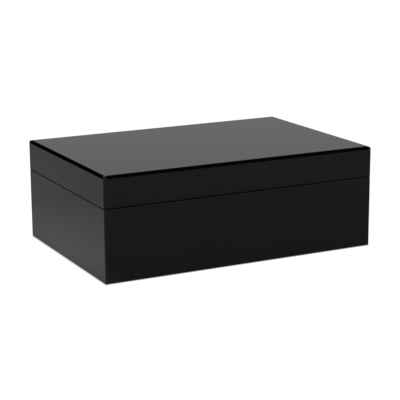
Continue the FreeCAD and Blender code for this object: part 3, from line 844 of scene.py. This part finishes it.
@dataclass
class CedarWork:
    """Lining, cleats, tray and dividers, all in cedar."""

    ease_mm: float = 0.35
    first_shift: float = 1.0
    shift_step: float = 0.7
    sides: tuple[str, ...] = ("front", "back", "left", "right")

    def boards(self) -> list[str]:
        """Names of all the boards, in the order in which their grain shifts."""
        return [
            "lining_floor", *(f"lining_{side}" for side in self.sides),
            "tray_cleat_front", "tray_cleat_back",
            "lid_lining_top", *(f"lid_lining_{side}" for side in self.sides),
            *(f"tray_{side}_board" for side in self.sides),
            "tray_floor_slats", "tray_divider", "floor_divider",
        ]

    def grain_of(self, board: str) -> Grain:
        """Sides and dividers run from front to back, the other boards from side to side."""
        lengthwise = any(word in board for word in ("left", "right", "divider"))
        return Grain.ALONG_Y if lengthwise else Grain.ALONG_X

    def body_of(self, board: str) -> str:
        """Name of the body that carries a board."""
        if board in ("tray_divider", "floor_divider"):
            return board
        if board.startswith("lid_"):
            return "lid"
        return "tray" if board.startswith("tray_") and "cleat" not in board else "case"

    def build(self) -> None:
        """Build every board with eased edges and grain of its own."""
        for index, name in enumerate(self.boards()):
            shift = self.first_shift + self.shift_step * index
            material = CedarFinish(self.grain_of(name), shift).make()
            board = eased_copy(name, self.body_of(name), material, self.ease_mm)


@dataclass
class SlottedScrews:
    """Countersunk slotted screws, all alike."""

    name: str
    node: str
    body: str
    places: tuple[Pair, ...]
    face_z: float
    drive: Drive
    head_radius: float = 2.66
    head_depth: float = 1.5
    proud: float = 0.08
    edge_rise: float = 0.02
    shank_radius: float = 1.25
    length: float = 9.8
    slot_width: float = 0.7
    slot_depth: float = 0.6
    rim: float = 0.16
    steps: int = 28
    first_turn: float = 0.4
    turn_step: float = 1.9

    def add_screw(self, shape: Shape, x: float, y: float, turn: float) -> None:
        """Add one screw.

        Args:
            shape: The shape to add to.
            x: Centre of the head, in millimetres.
            y: Centre of the head, in millimetres.
            turn: Direction of the slot, in radians.
        """
        into = self.drive.value
        z = self.face_z - into * self.proud
        profile = [
            (0.0, z),
            (self.head_radius - self.rim, z),
            (self.head_radius, z + into * (self.proud - self.edge_rise)),
            (self.shank_radius, z + into * self.head_depth),
            (self.shank_radius, z + into * self.length),
            (0.0, z + into * self.length),
        ]
        verts = add_turned(shape, profile, (x, y), self.steps)
        across = Vector((-math.sin(turn), math.cos(turn), 0))
        centre = Vector((x, y, z)) * MM
        half_slot = self.slot_width / 2 * MM
        for side in (-1, 1):
            before = set(shape.verts)
            faces = {face for vert in verts for face in vert.link_faces}
            cut(shape, faces, centre + across * side * half_slot, across)
            verts += [vert for vert in shape.verts if vert not in before]
        slot = []
        for face in {face for vert in verts if vert.is_valid for face in vert.link_faces}:
            middle = face.calc_center_median() - centre
            if abs(middle.z) < POLE_REACH and abs(middle.dot(across)) < half_slot:
                slot.append(face)
        pull(shape, slot, into * self.slot_depth * MM)

    def build(self, material: Material) -> Piece:
        """Build the screws.

        Args:
            material: Their material.

        Returns:
            The piece.
        """
        shape = bmesh.new()
        for index, (x, y) in enumerate(self.places):
            self.add_screw(shape, x, y, self.first_turn + self.turn_step * index)
        piece = finished(self.name, shape, material)
        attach(piece, self.body)
        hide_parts(self.node)
        return piece


@dataclass
class QuadrantHinges:
    """Brass quadrant hinges with floating arms."""

    leaf_x: float = 164.0
    leaf_y: float = 107.45
    front_y: float = 80.05
    inner_x: float = 136.0
    near_corner_x: float = 156.0
    case_rim_z: float = 83.8
    lid_rim_z: float = 84.2
    ease_mm: float = 0.18
    finish: MetalFinish = MetalFinish("polished_brass", (0.80, 0.57, 0.22), rough=(0.12, 0.26),
                                      fine=rubbing(500.0, 500.0, 60.0))

    def screw_places(self) -> tuple[Pair, ...]:
        """Centres of the screws of both leaves at one rim."""
        left = ((-self.leaf_x, self.front_y), (-self.near_corner_x, self.leaf_y),
                (-self.inner_x, self.leaf_y))
        return left + tuple((-x, y) for x, y in left)

    def build(self) -> None:
        """Build the leaves, arms and screws."""
        material = self.finish.make()
        rides = (("hinge_case_leaves", "case"), ("hinge_lid_leaves", "lid"),
                 ("hinge_arms", "hinge_arms"))
        for node, body in rides:
            eased_copy(node, body, material, self.ease_mm)
        dress(("hinge_pins",), material)
        rims = (
            ("hinge_case_screw_heads", "hinge_case_screws", "case", self.case_rim_z, Drive.DOWN),
            ("hinge_lid_screw_heads", "hinge_lid_screws", "lid", self.lid_rim_z, Drive.UP),
        )
        for name, node, body, face_z, drive in rims:
            screws = SlottedScrews(name, node, body, self.screw_places(), face_z, drive)
            screws.build(material)


@dataclass
class Hygrometer:
    """Dial instrument in the lid, read from below when the lid is open."""

    x: float = -78.0
    y: float = -1.55
    mouth_z: float = 92.5
    dial_z: float = 96.5
    bezel_radius: float = 27.5
    opening_radius: float = 21.4
    bezel_steps: int = 96
    scale_radius: float = 19.6
    scale_line: float = 0.22
    sweep_deg: float = 270.0
    minor_step: int = 2
    major_step: int = 10
    minor_tick: Pair = (1.5, 0.2)
    major_tick: Pair = (2.6, 0.34)
    number_radius: float = 14.2
    number_size: float = 3.0
    sign_drop: float = 9.2
    sign_size: float = 3.6
    ink_mm: float = 0.06
    ink_sink: float = 0.02
    ring_step_deg: float = 4.0
    fewest_ring_steps: int = 8
    zone: tuple[int, int] = (65, 75)
    zone_inset: float = 2.9
    zone_width: float = 1.1
    reading: float = 70.0
    blade_half: float = 0.9
    blade_reach: Pair = (-6.0, 17.0)
    blade_levels: Pair = (-0.9, -0.5)
    blade_tip: float = 0.18
    blade_tail: float = 0.7
    bob_y: float = -5.6
    finish: MetalFinish = MetalFinish("spun_brass", (0.83, 0.60, 0.25), rough=(0.1, 0.22),
                                      fine=rubbing(300.0, 300.0, 300.0))

    def angle(self, value: float) -> float:
        """Clockwise angle of a value from the top of the dial, in radians."""
        return math.radians(self.sweep_deg * (value / 100 - 0.5))

    def spot(self, value: float, radius: float, z: float) -> Vector:
        """Point in metres, from a value's direction, a radius and a height in millimetres."""
        turn = self.angle(value)
        return Vector((self.x + radius * math.sin(turn), self.y - radius * math.cos(turn), z)) * MM

    def facing_down(self, place: Vector, turn: float = 0.0) -> Matrix:
        """Matrix that lays a drawing on the dial, readable and turned clockwise from below."""
        flipped = Matrix.Translation(place) @ Matrix.Rotation(math.pi, 4, "X")
        return flipped @ Matrix.Rotation(-turn, 4, "Z")

    def bezel(self, material: Material) -> None:
        """Build the spun bezel, its face downwards."""
        z = self.mouth_z
        outer = self.bezel_radius
        inner = self.opening_radius
        profile = [
            (inner, z), (outer - 0.1, z), (outer, z - 0.15), (outer, z - 0.7),
            (outer - 0.15, z - 1.1), (outer - 0.5, z - 1.38), (outer - 1.0, z - 1.5),
            (outer - 1.5, z - 1.4), (outer - 1.7, z - 1.15), (outer - 2.0, z - 1.15),
            (outer - 2.2, z - 1.4), (outer - 2.8, z - 1.46), (outer - 3.6, z - 1.3),
            (inner + 1.2, z - 0.75), (inner + 0.3, z - 0.45), (inner, z - 0.3), (inner, z),
        ]
        shape = bmesh.new()
        add_turned(shape, profile, (self.x, self.y), self.bezel_steps)
        piece = finished("hygrometer_spun_bezel", shape, material)
        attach(piece, "lid")
        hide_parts("hygrometer_bezel")

    def scale(self, ink: Material) -> None:
        """Build the ticks, numbers and ring of the printed scale."""
        shape = bmesh.new()
        face_z = self.dial_z - self.ink_mm
        for value in range(0, 101, self.minor_step):
            major = value % self.major_step == 0
            length, width = self.major_tick if major else self.minor_tick
            middle = self.spot(value, self.scale_radius - length / 2, self.dial_z)
            size = Matrix.Diagonal((width * MM, length * MM, 2 * self.ink_mm * MM, 1.0))
            placed = self.facing_down(middle, self.angle(value)) @ size
            bmesh.ops.create_cube(shape, size=1.0, matrix=placed)
        for value in range(0, 101, self.major_step):
            middle = self.spot(value, self.number_radius, face_z)
            self.add_text(shape, str(value), middle, self.number_size)
        middle = Vector((self.x, self.y + self.sign_drop, face_z)) * MM
        self.add_text(shape, "%", middle, self.sign_size)
        self.add_ring(shape, self.scale_radius, self.scale_line, 0, 100)
        piece = finished("hygrometer_scale", shape, ink)
        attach(piece, "lid")

    def add_text(self, shape: Shape, text: str, place: Vector, size: float) -> None:
        """Add a short text to a shape, upright on the dial.

        Args:
            shape: The shape to add to.
            text: The characters.
            place: Centre of the text, in metres.
            size: Height of the letters, in millimetres.
        """
        curve = bpy.data.curves.new("numbers", "FONT")
        curve.body = text
        curve.size = size * MM
        curve.align_x = curve.align_y = "CENTER"
        curve.extrude = self.ink_sink * MM
        holder = in_scene("numbers", curve)
        bpy.context.view_layer.update()
        settled = holder.evaluated_get(bpy.context.evaluated_depsgraph_get())
        mesh = bpy.data.meshes.new_from_object(settled)
        mesh.transform(self.facing_down(place))
        shape.from_mesh(mesh)
        bpy.data.objects.remove(holder)
        bpy.data.curves.remove(curve)
        bpy.data.meshes.remove(mesh)

    def add_ring(self, shape: Shape, radius: float, width: float, start: int, end: int) -> None:
        """Add a printed arc between two values.

        Args:
            shape: The shape to add to.
            radius: Outer radius in millimetres.
            width: Width of the line in millimetres.
            start: Value where the arc begins.
            end: Value where it ends.
        """
        low, high = self.dial_z - self.ink_mm, self.dial_z + self.ink_sink
        corners = [(radius, low), (radius - width, low), (radius - width, high), (radius, high)]
        verts = [shape.verts.new(self.spot(start, r, height)) for r, height in corners]
        face = shape.faces.new(verts)
        turn = self.angle(end) - self.angle(start)
        steps = max(self.fewest_ring_steps, round(math.degrees(turn) / self.ring_step_deg))
        bmesh.ops.spin(shape, geom=[face, *face.edges, *verts], axis=(0, 0, 1), dvec=(0, 0, 0),
                       cent=Vector((self.x, self.y, 0)) * MM, angle=turn, steps=steps,
                       use_duplicate=False)

    def comfort_zone(self) -> None:
        """Build the coloured band that marks the wanted humidity."""
        shape = bmesh.new()
        self.add_ring(shape, self.scale_radius - self.zone_inset, self.zone_width, *self.zone)
        green = EnamelFinish("zone_green", (0.05, 0.22, 0.08))
        piece = finished("hygrometer_zone", shape, green.make())
        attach(piece, "lid")

    def needle(self, material: Material) -> None:
        """Build the pointer with its hub and counterweight."""
        shape = bmesh.new()
        z = self.dial_z
        hub = [(0.0, z - 1.5), (1.5, z - 1.5), (2.05, z - 1.3), (2.2, z - 0.95), (2.2, z - 0.5),
               (0.0, z - 0.5)]
        add_turned(shape, hub, (self.x, self.y), 32)
        half, (tail, tip), (low, high) = self.blade_half, self.blade_reach, self.blade_levels
        blade = add_bar(shape, (-half, tail, low), (half, tip, high))
        for vert in blade:
            vert.co.x *= self.blade_tip if vert.co.y > 0 else self.blade_tail
        bob = [(0.0, low), (1.75, low), (1.9, low + 0.12), (1.9, high), (0.0, high)]
        weight = add_turned(shape, bob, (0, self.bob_y), 24)
        place = self.facing_down(Vector((self.x, self.y, z)) * MM, self.angle(self.reading))
        flip = Matrix.Diagonal((1.0, 1.0, -1.0, 1.0))
        bmesh.ops.transform(shape, matrix=place @ flip, verts=[*blade, *weight])
        piece = finished("hygrometer_pointer", shape, material)
        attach(piece, "needle")
        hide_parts("hygrometer_needle")

    def build(self) -> None:
        """Build and dress the instrument."""
        material = self.finish.make()
        self.bezel(material)
        dress(("hygrometer_case", "hygrometer_arbor"), material)
        dress(("hygrometer_dial",), EnamelFinish("dial_enamel", (0.80, 0.77, 0.68)).make())
        ink = EnamelFinish("black_ink", (0.008, 0.008, 0.009)).make()
        self.scale(ink)
        self.comfort_zone()
        self.needle(ink)
        dress(("hygrometer_glass",), GlassFinish().make())


@dataclass
class Humidifier:
    """Black plastic humidifier with a louvred cover over foam."""

    x: float = 76.0
    y: float = -1.55
    width: float = 118.0
    depth: float = 68.0
    corner: float = 8.0
    corner_steps: int = 8
    rim_ease: float = 0.5
    mouth_z: float = 93.0
    thickness: float = 1.8
    rows: int = 2
    columns: int = 11
    pitch: float = 8.6
    slot_width: float = 3.2
    row_length: float = 23.0
    row_gap: float = 6.0
    blade_ease: float = 0.45
    blade_overlap: float = 0.3
    blade_sink: float = 0.1
    tongue_inset: float = 2.1
    tongue_thickness: float = 2.0
    tongue_rise: float = 2.0
    touching: float = 0.01
    sharp_rad: float = 0.5
    foam_ease: float = 0.8
    foam_long: float = 4.0
    foam_cuts: int = 24
    pore_depth: float = 0.45
    pores_per_metre: float = 900.0

    def cover_plate(self, shape: Shape) -> None:
        """Add the cover's frame with one window for each row of louvres."""
        half_w, half_d = self.width / 2, self.depth / 2
        window = self.pitch * (self.columns - 1) / 2 + self.slot_width / 2
        near = self.row_gap / 2
        far = near + self.row_length
        xs = [-half_w, -window, window, half_w]
        ys = [-half_d, -far, -near, near, far, half_d]
        across, along = len(xs) - 1, len(ys) - 1
        made = bmesh.ops.create_grid(shape, x_segments=across, y_segments=along, size=1.0)["verts"]
        for vert in made:
            column = round((vert.co.x + 1) / 2 * across)
            row = round((vert.co.y + 1) / 2 * along)
            vert.co = Vector((self.x + xs[column], self.y + ys[row], self.mouth_z)) * MM
        openings = []
        for face in {face for vert in made for face in vert.link_faces}:
            middle = face.calc_center_median() / MM - Vector((self.x, self.y, 0))
            if abs(middle.x) < 1 and near < abs(middle.y) < far:
                openings.append(face)
        bmesh.ops.delete(shape, geom=openings, context="FACES_KEEP_BOUNDARY")
        faces = {face for vert in made if vert.is_valid for face in vert.link_faces}
        pull(shape, faces, -self.thickness * MM, keep=True)
        corners = [edge for edge in shape.edges if self.is_corner(edge)]
        ease(shape, corners, self.corner, self.corner_steps)
        rim = [edge for edge in shape.edges if self.is_face_rim(edge)]
        ease(shape, rim, self.rim_ease, 3)

    def is_corner(self, edge: Edge) -> bool:
        """Whether an edge is one of the plate's four upright corners."""
        first, second = (vert.co / MM for vert in edge.verts)
        gaps = (
            first.x - second.x,
            first.y - second.y,
            abs(first.x - self.x) - self.width / 2,
            abs(first.y - self.y) - self.depth / 2,
        )
        return all(abs(gap) < self.touching for gap in gaps)

    def is_face_rim(self, edge: Edge) -> bool:
        """Whether an edge runs round the visible face or a window in it."""
        low = (self.mouth_z - self.thickness) * MM
        on_face = all(abs(vert.co.z - low) < POLE_REACH for vert in edge.verts)
        return on_face and len(edge.link_faces) == 2 and edge.calc_face_angle(0) > self.sharp_rad

    def add_blades(self, shape: Shape) -> None:
        """Add the blades between the louvres."""
        low = self.mouth_z - self.thickness + self.blade_sink
        blade = self.pitch - self.slot_width
        first = self.x - self.pitch * (self.columns - 1) / 2
        for row in range(self.rows):
            rows_before = row * (self.row_length + self.row_gap)
            y0 = self.y - self.row_length - self.row_gap / 2 + rows_before
            near, far = y0 - self.blade_overlap, y0 + self.row_length + self.blade_overlap
            for column in range(self.columns - 1):
                x0 = first + column * self.pitch + self.slot_width / 2
                add_bar(shape, (x0, near, low), (x0 + blade, far, self.mouth_z),
                        self.blade_ease, 3)

    def add_tongues(self, shape: Shape) -> None:
        """Add the two tongues behind the cover that snap into the tank."""
        half_t = self.tongue_thickness / 2
        reach = self.depth / 2 - self.tongue_inset - half_t
        half = self.width / 2 - self.corner
        for y in (self.y - reach, self.y + reach):
            add_bar(shape, (self.x - half, y - half_t, self.mouth_z),
                    (self.x + half, y + half_t, self.mouth_z + self.tongue_rise), 0.3)

    def foam(self) -> None:
        """Build the block of foam behind the louvres."""
        low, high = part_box("humidifier_foam")
        shape = bmesh.new()
        add_bar(shape, tuple(low / MM), tuple(high / MM), self.foam_ease)
        long_edges = [edge for edge in shape.edges if edge.calc_length() > self.foam_long * MM]
        bmesh.ops.subdivide_edges(shape, edges=long_edges, cuts=self.foam_cuts,
                                  use_grid_fill=True)
        for vert in shape.verts:
            pore = abs(noise.noise(vert.co * self.pores_per_metre))
            vert.co -= vert.normal * pore * self.pore_depth * MM
        piece = finished("humidifier_foam_block", shape, FoamFinish().make())
        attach(piece, "lid")
        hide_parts("humidifier_foam")

    def build(self) -> None:
        """Build the cover and the foam, and dress the tank."""
        plastic = PlasticFinish().make()
        shape = bmesh.new()
        self.cover_plate(shape)
        self.add_blades(shape)
        self.add_tongues(shape)
        cover = finished("humidifier_louvred_cover", shape, plastic)
        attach(cover, "lid")
        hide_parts("humidifier_cover")
        eased_copy("humidifier_tank", "lid", plastic, 0.4)
        self.foam()


@dataclass
class LidFittings:
    """Steel plates, their screws and the magnets on them."""

    places: tuple[Pair, ...] = ((-78.0, -1.55), (38.0, -1.55), (114.0, -1.55))
    face_z: float = 106.0
    plate_ease: float = 0.15
    magnet_ease: float = 0.25
    zinc: MetalFinish = MetalFinish("zinc_plate", (0.52, 0.52, 0.53), tones=(0.8, 1.0),
                                    rough=(0.25, 0.42))
    nickel: MetalFinish = MetalFinish("nickel_plate", (0.60, 0.59, 0.56), tones=(0.9, 1.0),
                                      rough=(0.12, 0.25))

    def build(self) -> None:
        """Build the screws and dress the plates and magnets."""
        zinc = self.zinc.make()
        for node in ("hygrometer_plate", "humidifier_plates"):
            eased_copy(node, "lid", zinc, self.plate_ease)
        nickel = self.nickel.make()
        for node in ("hygrometer_magnet", "humidifier_magnets"):
            eased_copy(node, "lid", nickel, self.magnet_ease)
        screws = SlottedScrews("plate_screw_heads", "plate_screws", "lid", self.places,
                               self.face_z, Drive.UP)
        screws.build(zinc)


@dataclass
class Base:
    """Fibreboard floor panel and the felt glued under it."""

    felt_node: str = "base_felt"
    cells: tuple[int, int] = (108, 72)
    nap_mm: float = 0.12
    nap_per_metre: float = 260.0

    def build(self) -> None:
        """Build the felt and dress the floor panel."""
        dress(("case_floor_panel",), FibreboardFinish().make())
        low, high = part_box(self.felt_node)
        middle, size = (low + high) / 2, high - low
        top = Matrix.Translation((middle.x, middle.y, high.z))
        placed = top @ Matrix.Diagonal((size.x / 2, size.y / 2, 1, 1))
        shape = bmesh.new()
        bmesh.ops.create_grid(shape, x_segments=self.cells[0], y_segments=self.cells[1],
                              size=1.0, matrix=placed)
        for vert in pull(shape, shape.faces, low.z - high.z, keep=True):
            vert.co.z += abs(noise.noise(vert.co * self.nap_per_metre)) * self.nap_mm * MM
        piece = finished("base_felt_sheet", shape, FeltFinish().make())
        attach(piece, "case")
        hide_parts(self.felt_node)


@dataclass(frozen=True)
class Lamp:
    """A square soft lamp: its place and side in metres, its power in watts."""

    name: str
    place: Point
    side: float
    watts: float
    in_gloss: bool


def matt(name: str, colour: Colour = BLACK) -> Nodes:
    """Start a matt material for the studio, whose white glow is still to be fed."""
    return Nodes(name, Base_Color=(*colour, 1.0), Roughness=1.0, Specular_IOR_Level=0.0,
                 Emission_Color=(1, 1, 1, 1))


@dataclass
class Studio:
    """Pale floor, soft light and the camera.

    A polished box shows what stands around it. So the floor that it mirrors is a second, glowing
    floor, dimmer than the white one behind it, with a painted pool of light to the left and
    painted shade near the box. Black sheets that only reflections see paint dark reflections that,
    with dark parts of the sky, keep its rounded edges dark. A glowing card that only reflections
    see paints a soft highlight from above.
    """

    eye: Point = (-707.07, -1403.09, 433.17)
    aim: Point = (0.0, 0.0, 0.06)
    azimuth: float = -0.46896
    elevation: float = 0.23927
    roll: float = -0.00616
    focal_px: float = 1344.26
    frame_px: float = 400.0
    floor_size: float = 60.0
    floor_white: float = 1.03
    floor_colour: Colour = (0.06, 0.06, 0.06)
    floor_light: float = 0.158
    # Painted shade: the floor that the object sees glows this much more beyond this reach from the
    # box
    far_light: float = 0.035
    far_from: Pair = (0.05, 0.45)
    # Painted pool of light on the floor that the object sees, left of the box, in two widths
    pool_centre: Pair = (-150.0, 0.0)
    pools: tuple[Pair, ...] = ((0.15, 300.0), (0.141, 850.0))
    pool_edge: Pair = (-0.14, -0.19)
    footprint: Point = (170.0, 115.0, -1.55)
    # Width of the painted contact shadow round the box on the white floor
    contact_width: float = 2.5
    wall_light: Pair = (0.3096, 0.41409)
    wall_reach: Pair = (0.0, 0.29)
    wall_end: Pair = (0.245, 0.285)
    dome_light: float = 0.95
    dome_start: Pair = (0.2, 0.3)
    dark_left: Pair = (0.30, 0.36)
    dark_right: Pair = (0.57, 0.64)
    dark_before: Pair = (0.80, 0.87)
    dark_top: Pair = (0.44, 0.50)
    # Black sheets that only reflections see, painted dark reflections in the round edges: name,
    # bearing in degrees, start in metres
    flag_size: Point = (1.6, 3.0, 1.3)
    flag_lift: float = 0.001
    flags: tuple[tuple[str, float, float], ...] = (("back_flag", -27.0, 0.85),
                                                   ("front_flag", 153.0, 0.76))
    # Glowing card over the box that only reflections see: a painted soft highlight on polished
    # faces
    card_place: Point = (-0.05, 0.05, 2.6)
    card_radius: float = 0.8
    card_core: float = 0.08
    card_sides: int = 48
    card_light: float = 1.1
    lamps: tuple[Lamp, ...] = (
        Lamp("key_softbox", (-1.3, -1.1, 1.7), 1.3, 26.0, in_gloss=True),
        Lamp("overhead_fill", (0.0, 0.0, 2.6), 2.6, 36.0, in_gloss=False),
        Lamp("front_fill", (0.5, -2.4, 1.5), 1.6, 24.0, in_gloss=False),
    )

    def camera(self) -> None:
        """Set the camera at the photograph's place."""
        az, el = self.azimuth, self.elevation
        back = Vector((math.sin(az) * math.cos(el), -math.cos(az) * math.cos(el), math.sin(el)))
        right = Vector((0, 0, 1)).cross(back).normalized()
        up = back.cross(right)
        c, s = math.cos(self.roll), math.sin(self.roll)
        across, upward = c * right + s * up, -s * right + c * up
        data = bpy.data.cameras.new("camera")
        data.sensor_width = 36.0
        data.lens = self.focal_px / self.frame_px * data.sensor_width
        data.clip_end = 200.0
        camera = in_scene("camera", data)
        turn = Matrix((across, upward, back)).transposed().to_4x4()
        camera.matrix_world = Matrix.Translation(Vector(self.eye) * MM) @ turn
        bpy.context.scene.camera = camera

    def outside_box(self, nodes: Nodes, place: Socket) -> Socket:
        """Distance of a floor point from the box's footprint.

        Args:
            nodes: The floor's node tree.
            place: Coordinates of the point.

        Returns:
            The distance in metres, negative beneath the box.
        """
        half_x, half_y, middle_y = (size * MM for size in self.footprint)
        x, y, _ = nodes.parts(place)
        along = nodes.maths("SUBTRACT", nodes.maths("ABSOLUTE", x), half_x)
        moved = nodes.maths("SUBTRACT", y, middle_y)
        across = nodes.maths("SUBTRACT", nodes.maths("ABSOLUTE", moved), half_y)
        return nodes.maths("MAXIMUM", along, across)

    def lay(self, name: str, material: Material, seen: bool) -> None:
        """Lay one floor.

        Args:
            name: Name of the floor.
            material: Its material.
            seen: Whether the camera sees it; if not, only the object does.
        """
        shape = bmesh.new()
        bmesh.ops.create_grid(shape, x_segments=1, y_segments=1, size=self.floor_size / 2)
        floor = finished(name, shape, material)
        floor.visible_camera = floor.visible_transmission = floor.visible_shadow = seen
        floor.visible_diffuse = floor.visible_glossy = not seen

    def white_floor(self) -> Material:
        """The plain white floor that the camera sees, with a painted contact shadow beneath the
        box that fades out just past its edge.
        """
        nodes = matt("white_floor")
        away = self.outside_box(nodes, nodes.coordinates())
        # Painted contact shadow: no glow beneath the box, fading in across its edge
        edge = (-self.contact_width * MM, self.contact_width * MM)
        light = nodes.remap(away, edge, (0.0, self.floor_white), Step.SOFT)
        nodes.shade("Emission Strength", light)
        return nodes.material

    def glowing_floor(self) -> Material:
        """The dimmer floor that the object sees. It glows brighter to the left as a painted pool
        of light, and dimmer near the box as painted shade.
        """
        nodes = matt("glowing_floor", self.floor_colour)
        place = nodes.coordinates()
        away = self.outside_box(nodes, place)
        # Painted shade: the floor glows less close to the box
        far = nodes.remap(away, self.far_from, (0.0, self.far_light), Step.SOFT)
        # Painted pool of light left of the box, cut off softly towards the right
        left = nodes.distance(place, (*(MM * part for part in self.pool_centre), 0))
        narrow, wide = (nodes.remap(left, (0.0, reach * MM), (light, 0.0))
                        for light, reach in self.pools)
        beside = nodes.remap(nodes.parts(place)[0], self.pool_edge, FULL, Step.SOFT)
        glow = nodes.maths("MULTIPLY", nodes.maths("ADD", narrow, wide), beside)
        light = nodes.maths("ADD", nodes.maths("ADD", glow, far), self.floor_light)
        nodes.shade("Emission Strength", light)
        return nodes.material

    def hang(self, name: str, shape: Shape, material: Material) -> None:
        """Hang a card or sheet that only reflections see, as a painted reflection."""
        card = finished(name, shape, material)
        card.visible_camera = card.visible_diffuse = False
        card.visible_shadow = card.visible_transmission = False

    def ceiling_card(self) -> None:
        """Hang a glowing card over the box that fades towards its rim and only reflections see, a
        painted soft highlight for polished faces to mirror.
        """
        shape = bmesh.new()
        place = Matrix.Translation(self.card_place) @ Matrix.Rotation(math.pi, 4, "X")
        bmesh.ops.create_circle(shape, cap_ends=True, segments=self.card_sides,
                                radius=self.card_radius, matrix=place)
        nodes = matt("ceiling_card")
        off = nodes.distance(nodes.coordinates(), self.card_place)
        fade = (self.card_core, self.card_radius)
        light = nodes.remap(off, fade, (self.card_light, 0.0), Step.SOFT)
        nodes.shade("Emission Strength", light)
        self.hang("ceiling_card", shape, nodes.material)

    def flag(self, name: str, bearing_deg: float, start: float) -> None:
        """Hang a black sheet that runs out over the floor and only reflections see: a painted dark
        reflection that keeps the round edges dark.

        Args:
            name: Name of the sheet.
            bearing_deg: Direction from the object, clockwise from the back.
            start: Where it starts on the floor, in metres from the object.
        """
        shape = bmesh.new()
        width, end, height = self.flag_size
        laid = Matrix.Translation((0, (start + end) / 2, self.flag_lift))
        lying = laid @ Matrix.Diagonal((width, end - start, 1, 1))
        bmesh.ops.create_grid(shape, x_segments=1, y_segments=1, size=0.5, matrix=lying)
        far = max(shape.edges, key=lambda edge: sum(vert.co.y for vert in edge.verts))
        risen = bmesh.ops.extrude_edge_only(shape, edges=[far])["geom"]
        top = [item for item in risen if isinstance(item, Vertex)]
        bmesh.ops.translate(shape, vec=(0, 0, height), verts=top)
        turn = Matrix.Rotation(-math.radians(bearing_deg), 4, "Z")
        bmesh.ops.transform(shape, matrix=turn, verts=shape.verts)
        # Matt black and seen only in reflections: a painted dark reflection
        self.hang(name, shape, matt(f"{name}_velvet").material)

    def light(self, lamp: Lamp) -> None:
        """Hang a soft lamp that points at the object."""
        data = bpy.data.lights.new(lamp.name, "AREA")
        data.shape = "SQUARE"
        data.size = lamp.side
        data.energy = lamp.watts
        hung = in_scene(lamp.name, data)
        turn = (Vector(self.aim) - Vector(lamp.place)).to_track_quat("-Z", "Y")
        hung.matrix_world = Matrix.Translation(lamp.place) @ turn.to_matrix().to_4x4()
        hung.visible_glossy = lamp.in_gloss
        hung.visible_camera = False

    def world(self) -> None:
        """Paint bright walls above the horizon under a ceiling with a dark strip across it."""
        world = bpy.data.worlds.new("studio_walls")
        bpy.context.scene.world = world
        world.use_nodes = True
        world.node_tree.nodes.clear()
        tree = Tree(world.node_tree)
        where = tree.add("ShaderNodeTexCoord")
        east, north, up = tree.parts(where.outputs["Generated"])
        fade, rise = (1.0, 0.0), (0.0, 1.0)
        wall = tree.maths("MULTIPLY", tree.remap(up, self.wall_reach, self.wall_light),
                          tree.remap(up, self.wall_end, fade, Step.SOFT))
        beside = tree.maths("MAXIMUM", tree.remap(east, self.dark_left, fade, Step.SOFT),
                            tree.remap(east, self.dark_right, rise, Step.SOFT))
        before = tree.maths("MAXIMUM", tree.remap(north, self.dark_before, fade, Step.SOFT),
                            tree.remap(up, self.dark_top, rise, Step.SOFT))
        dome = tree.maths("MULTIPLY", tree.maths("MULTIPLY", beside, before),
                          tree.remap(up, self.dome_start, (0.0, self.dome_light), Step.SOFT))
        shade = tree.add("ShaderNodeBackground", Color=(1, 1, 1, 1))
        tree.feed(shade.inputs["Strength"], tree.maths("ADD", wall, dome))
        out = tree.add("ShaderNodeOutputWorld")
        tree.feed(out.inputs["Surface"], shade.outputs["Background"])

    def build(self) -> None:
        """Set up the whole studio."""
        self.camera()
        self.lay("floor", self.white_floor(), seen=True)
        self.lay("floor_glow", self.glowing_floor(), seen=False)
        self.world()
        self.ceiling_card()
        for name, bearing_deg, start in self.flags:
            self.flag(name, bearing_deg, start)
        for lamp in self.lamps:
            self.light(lamp)
        bpy.context.scene.view_settings.view_transform = "Standard"
        bpy.context.scene.view_settings.look = "None"


def main() -> None:
    """Build every sub-assembly in order."""
    logging.basicConfig(level=logging.INFO, format="%(name)s: %(message)s")
    for part in (Studio, Lacquerwork, CedarWork, QuadrantHinges, LidFittings, Hygrometer,
                 Humidifier, Base):
        part().build()


if __name__ == "__main__":
    main()
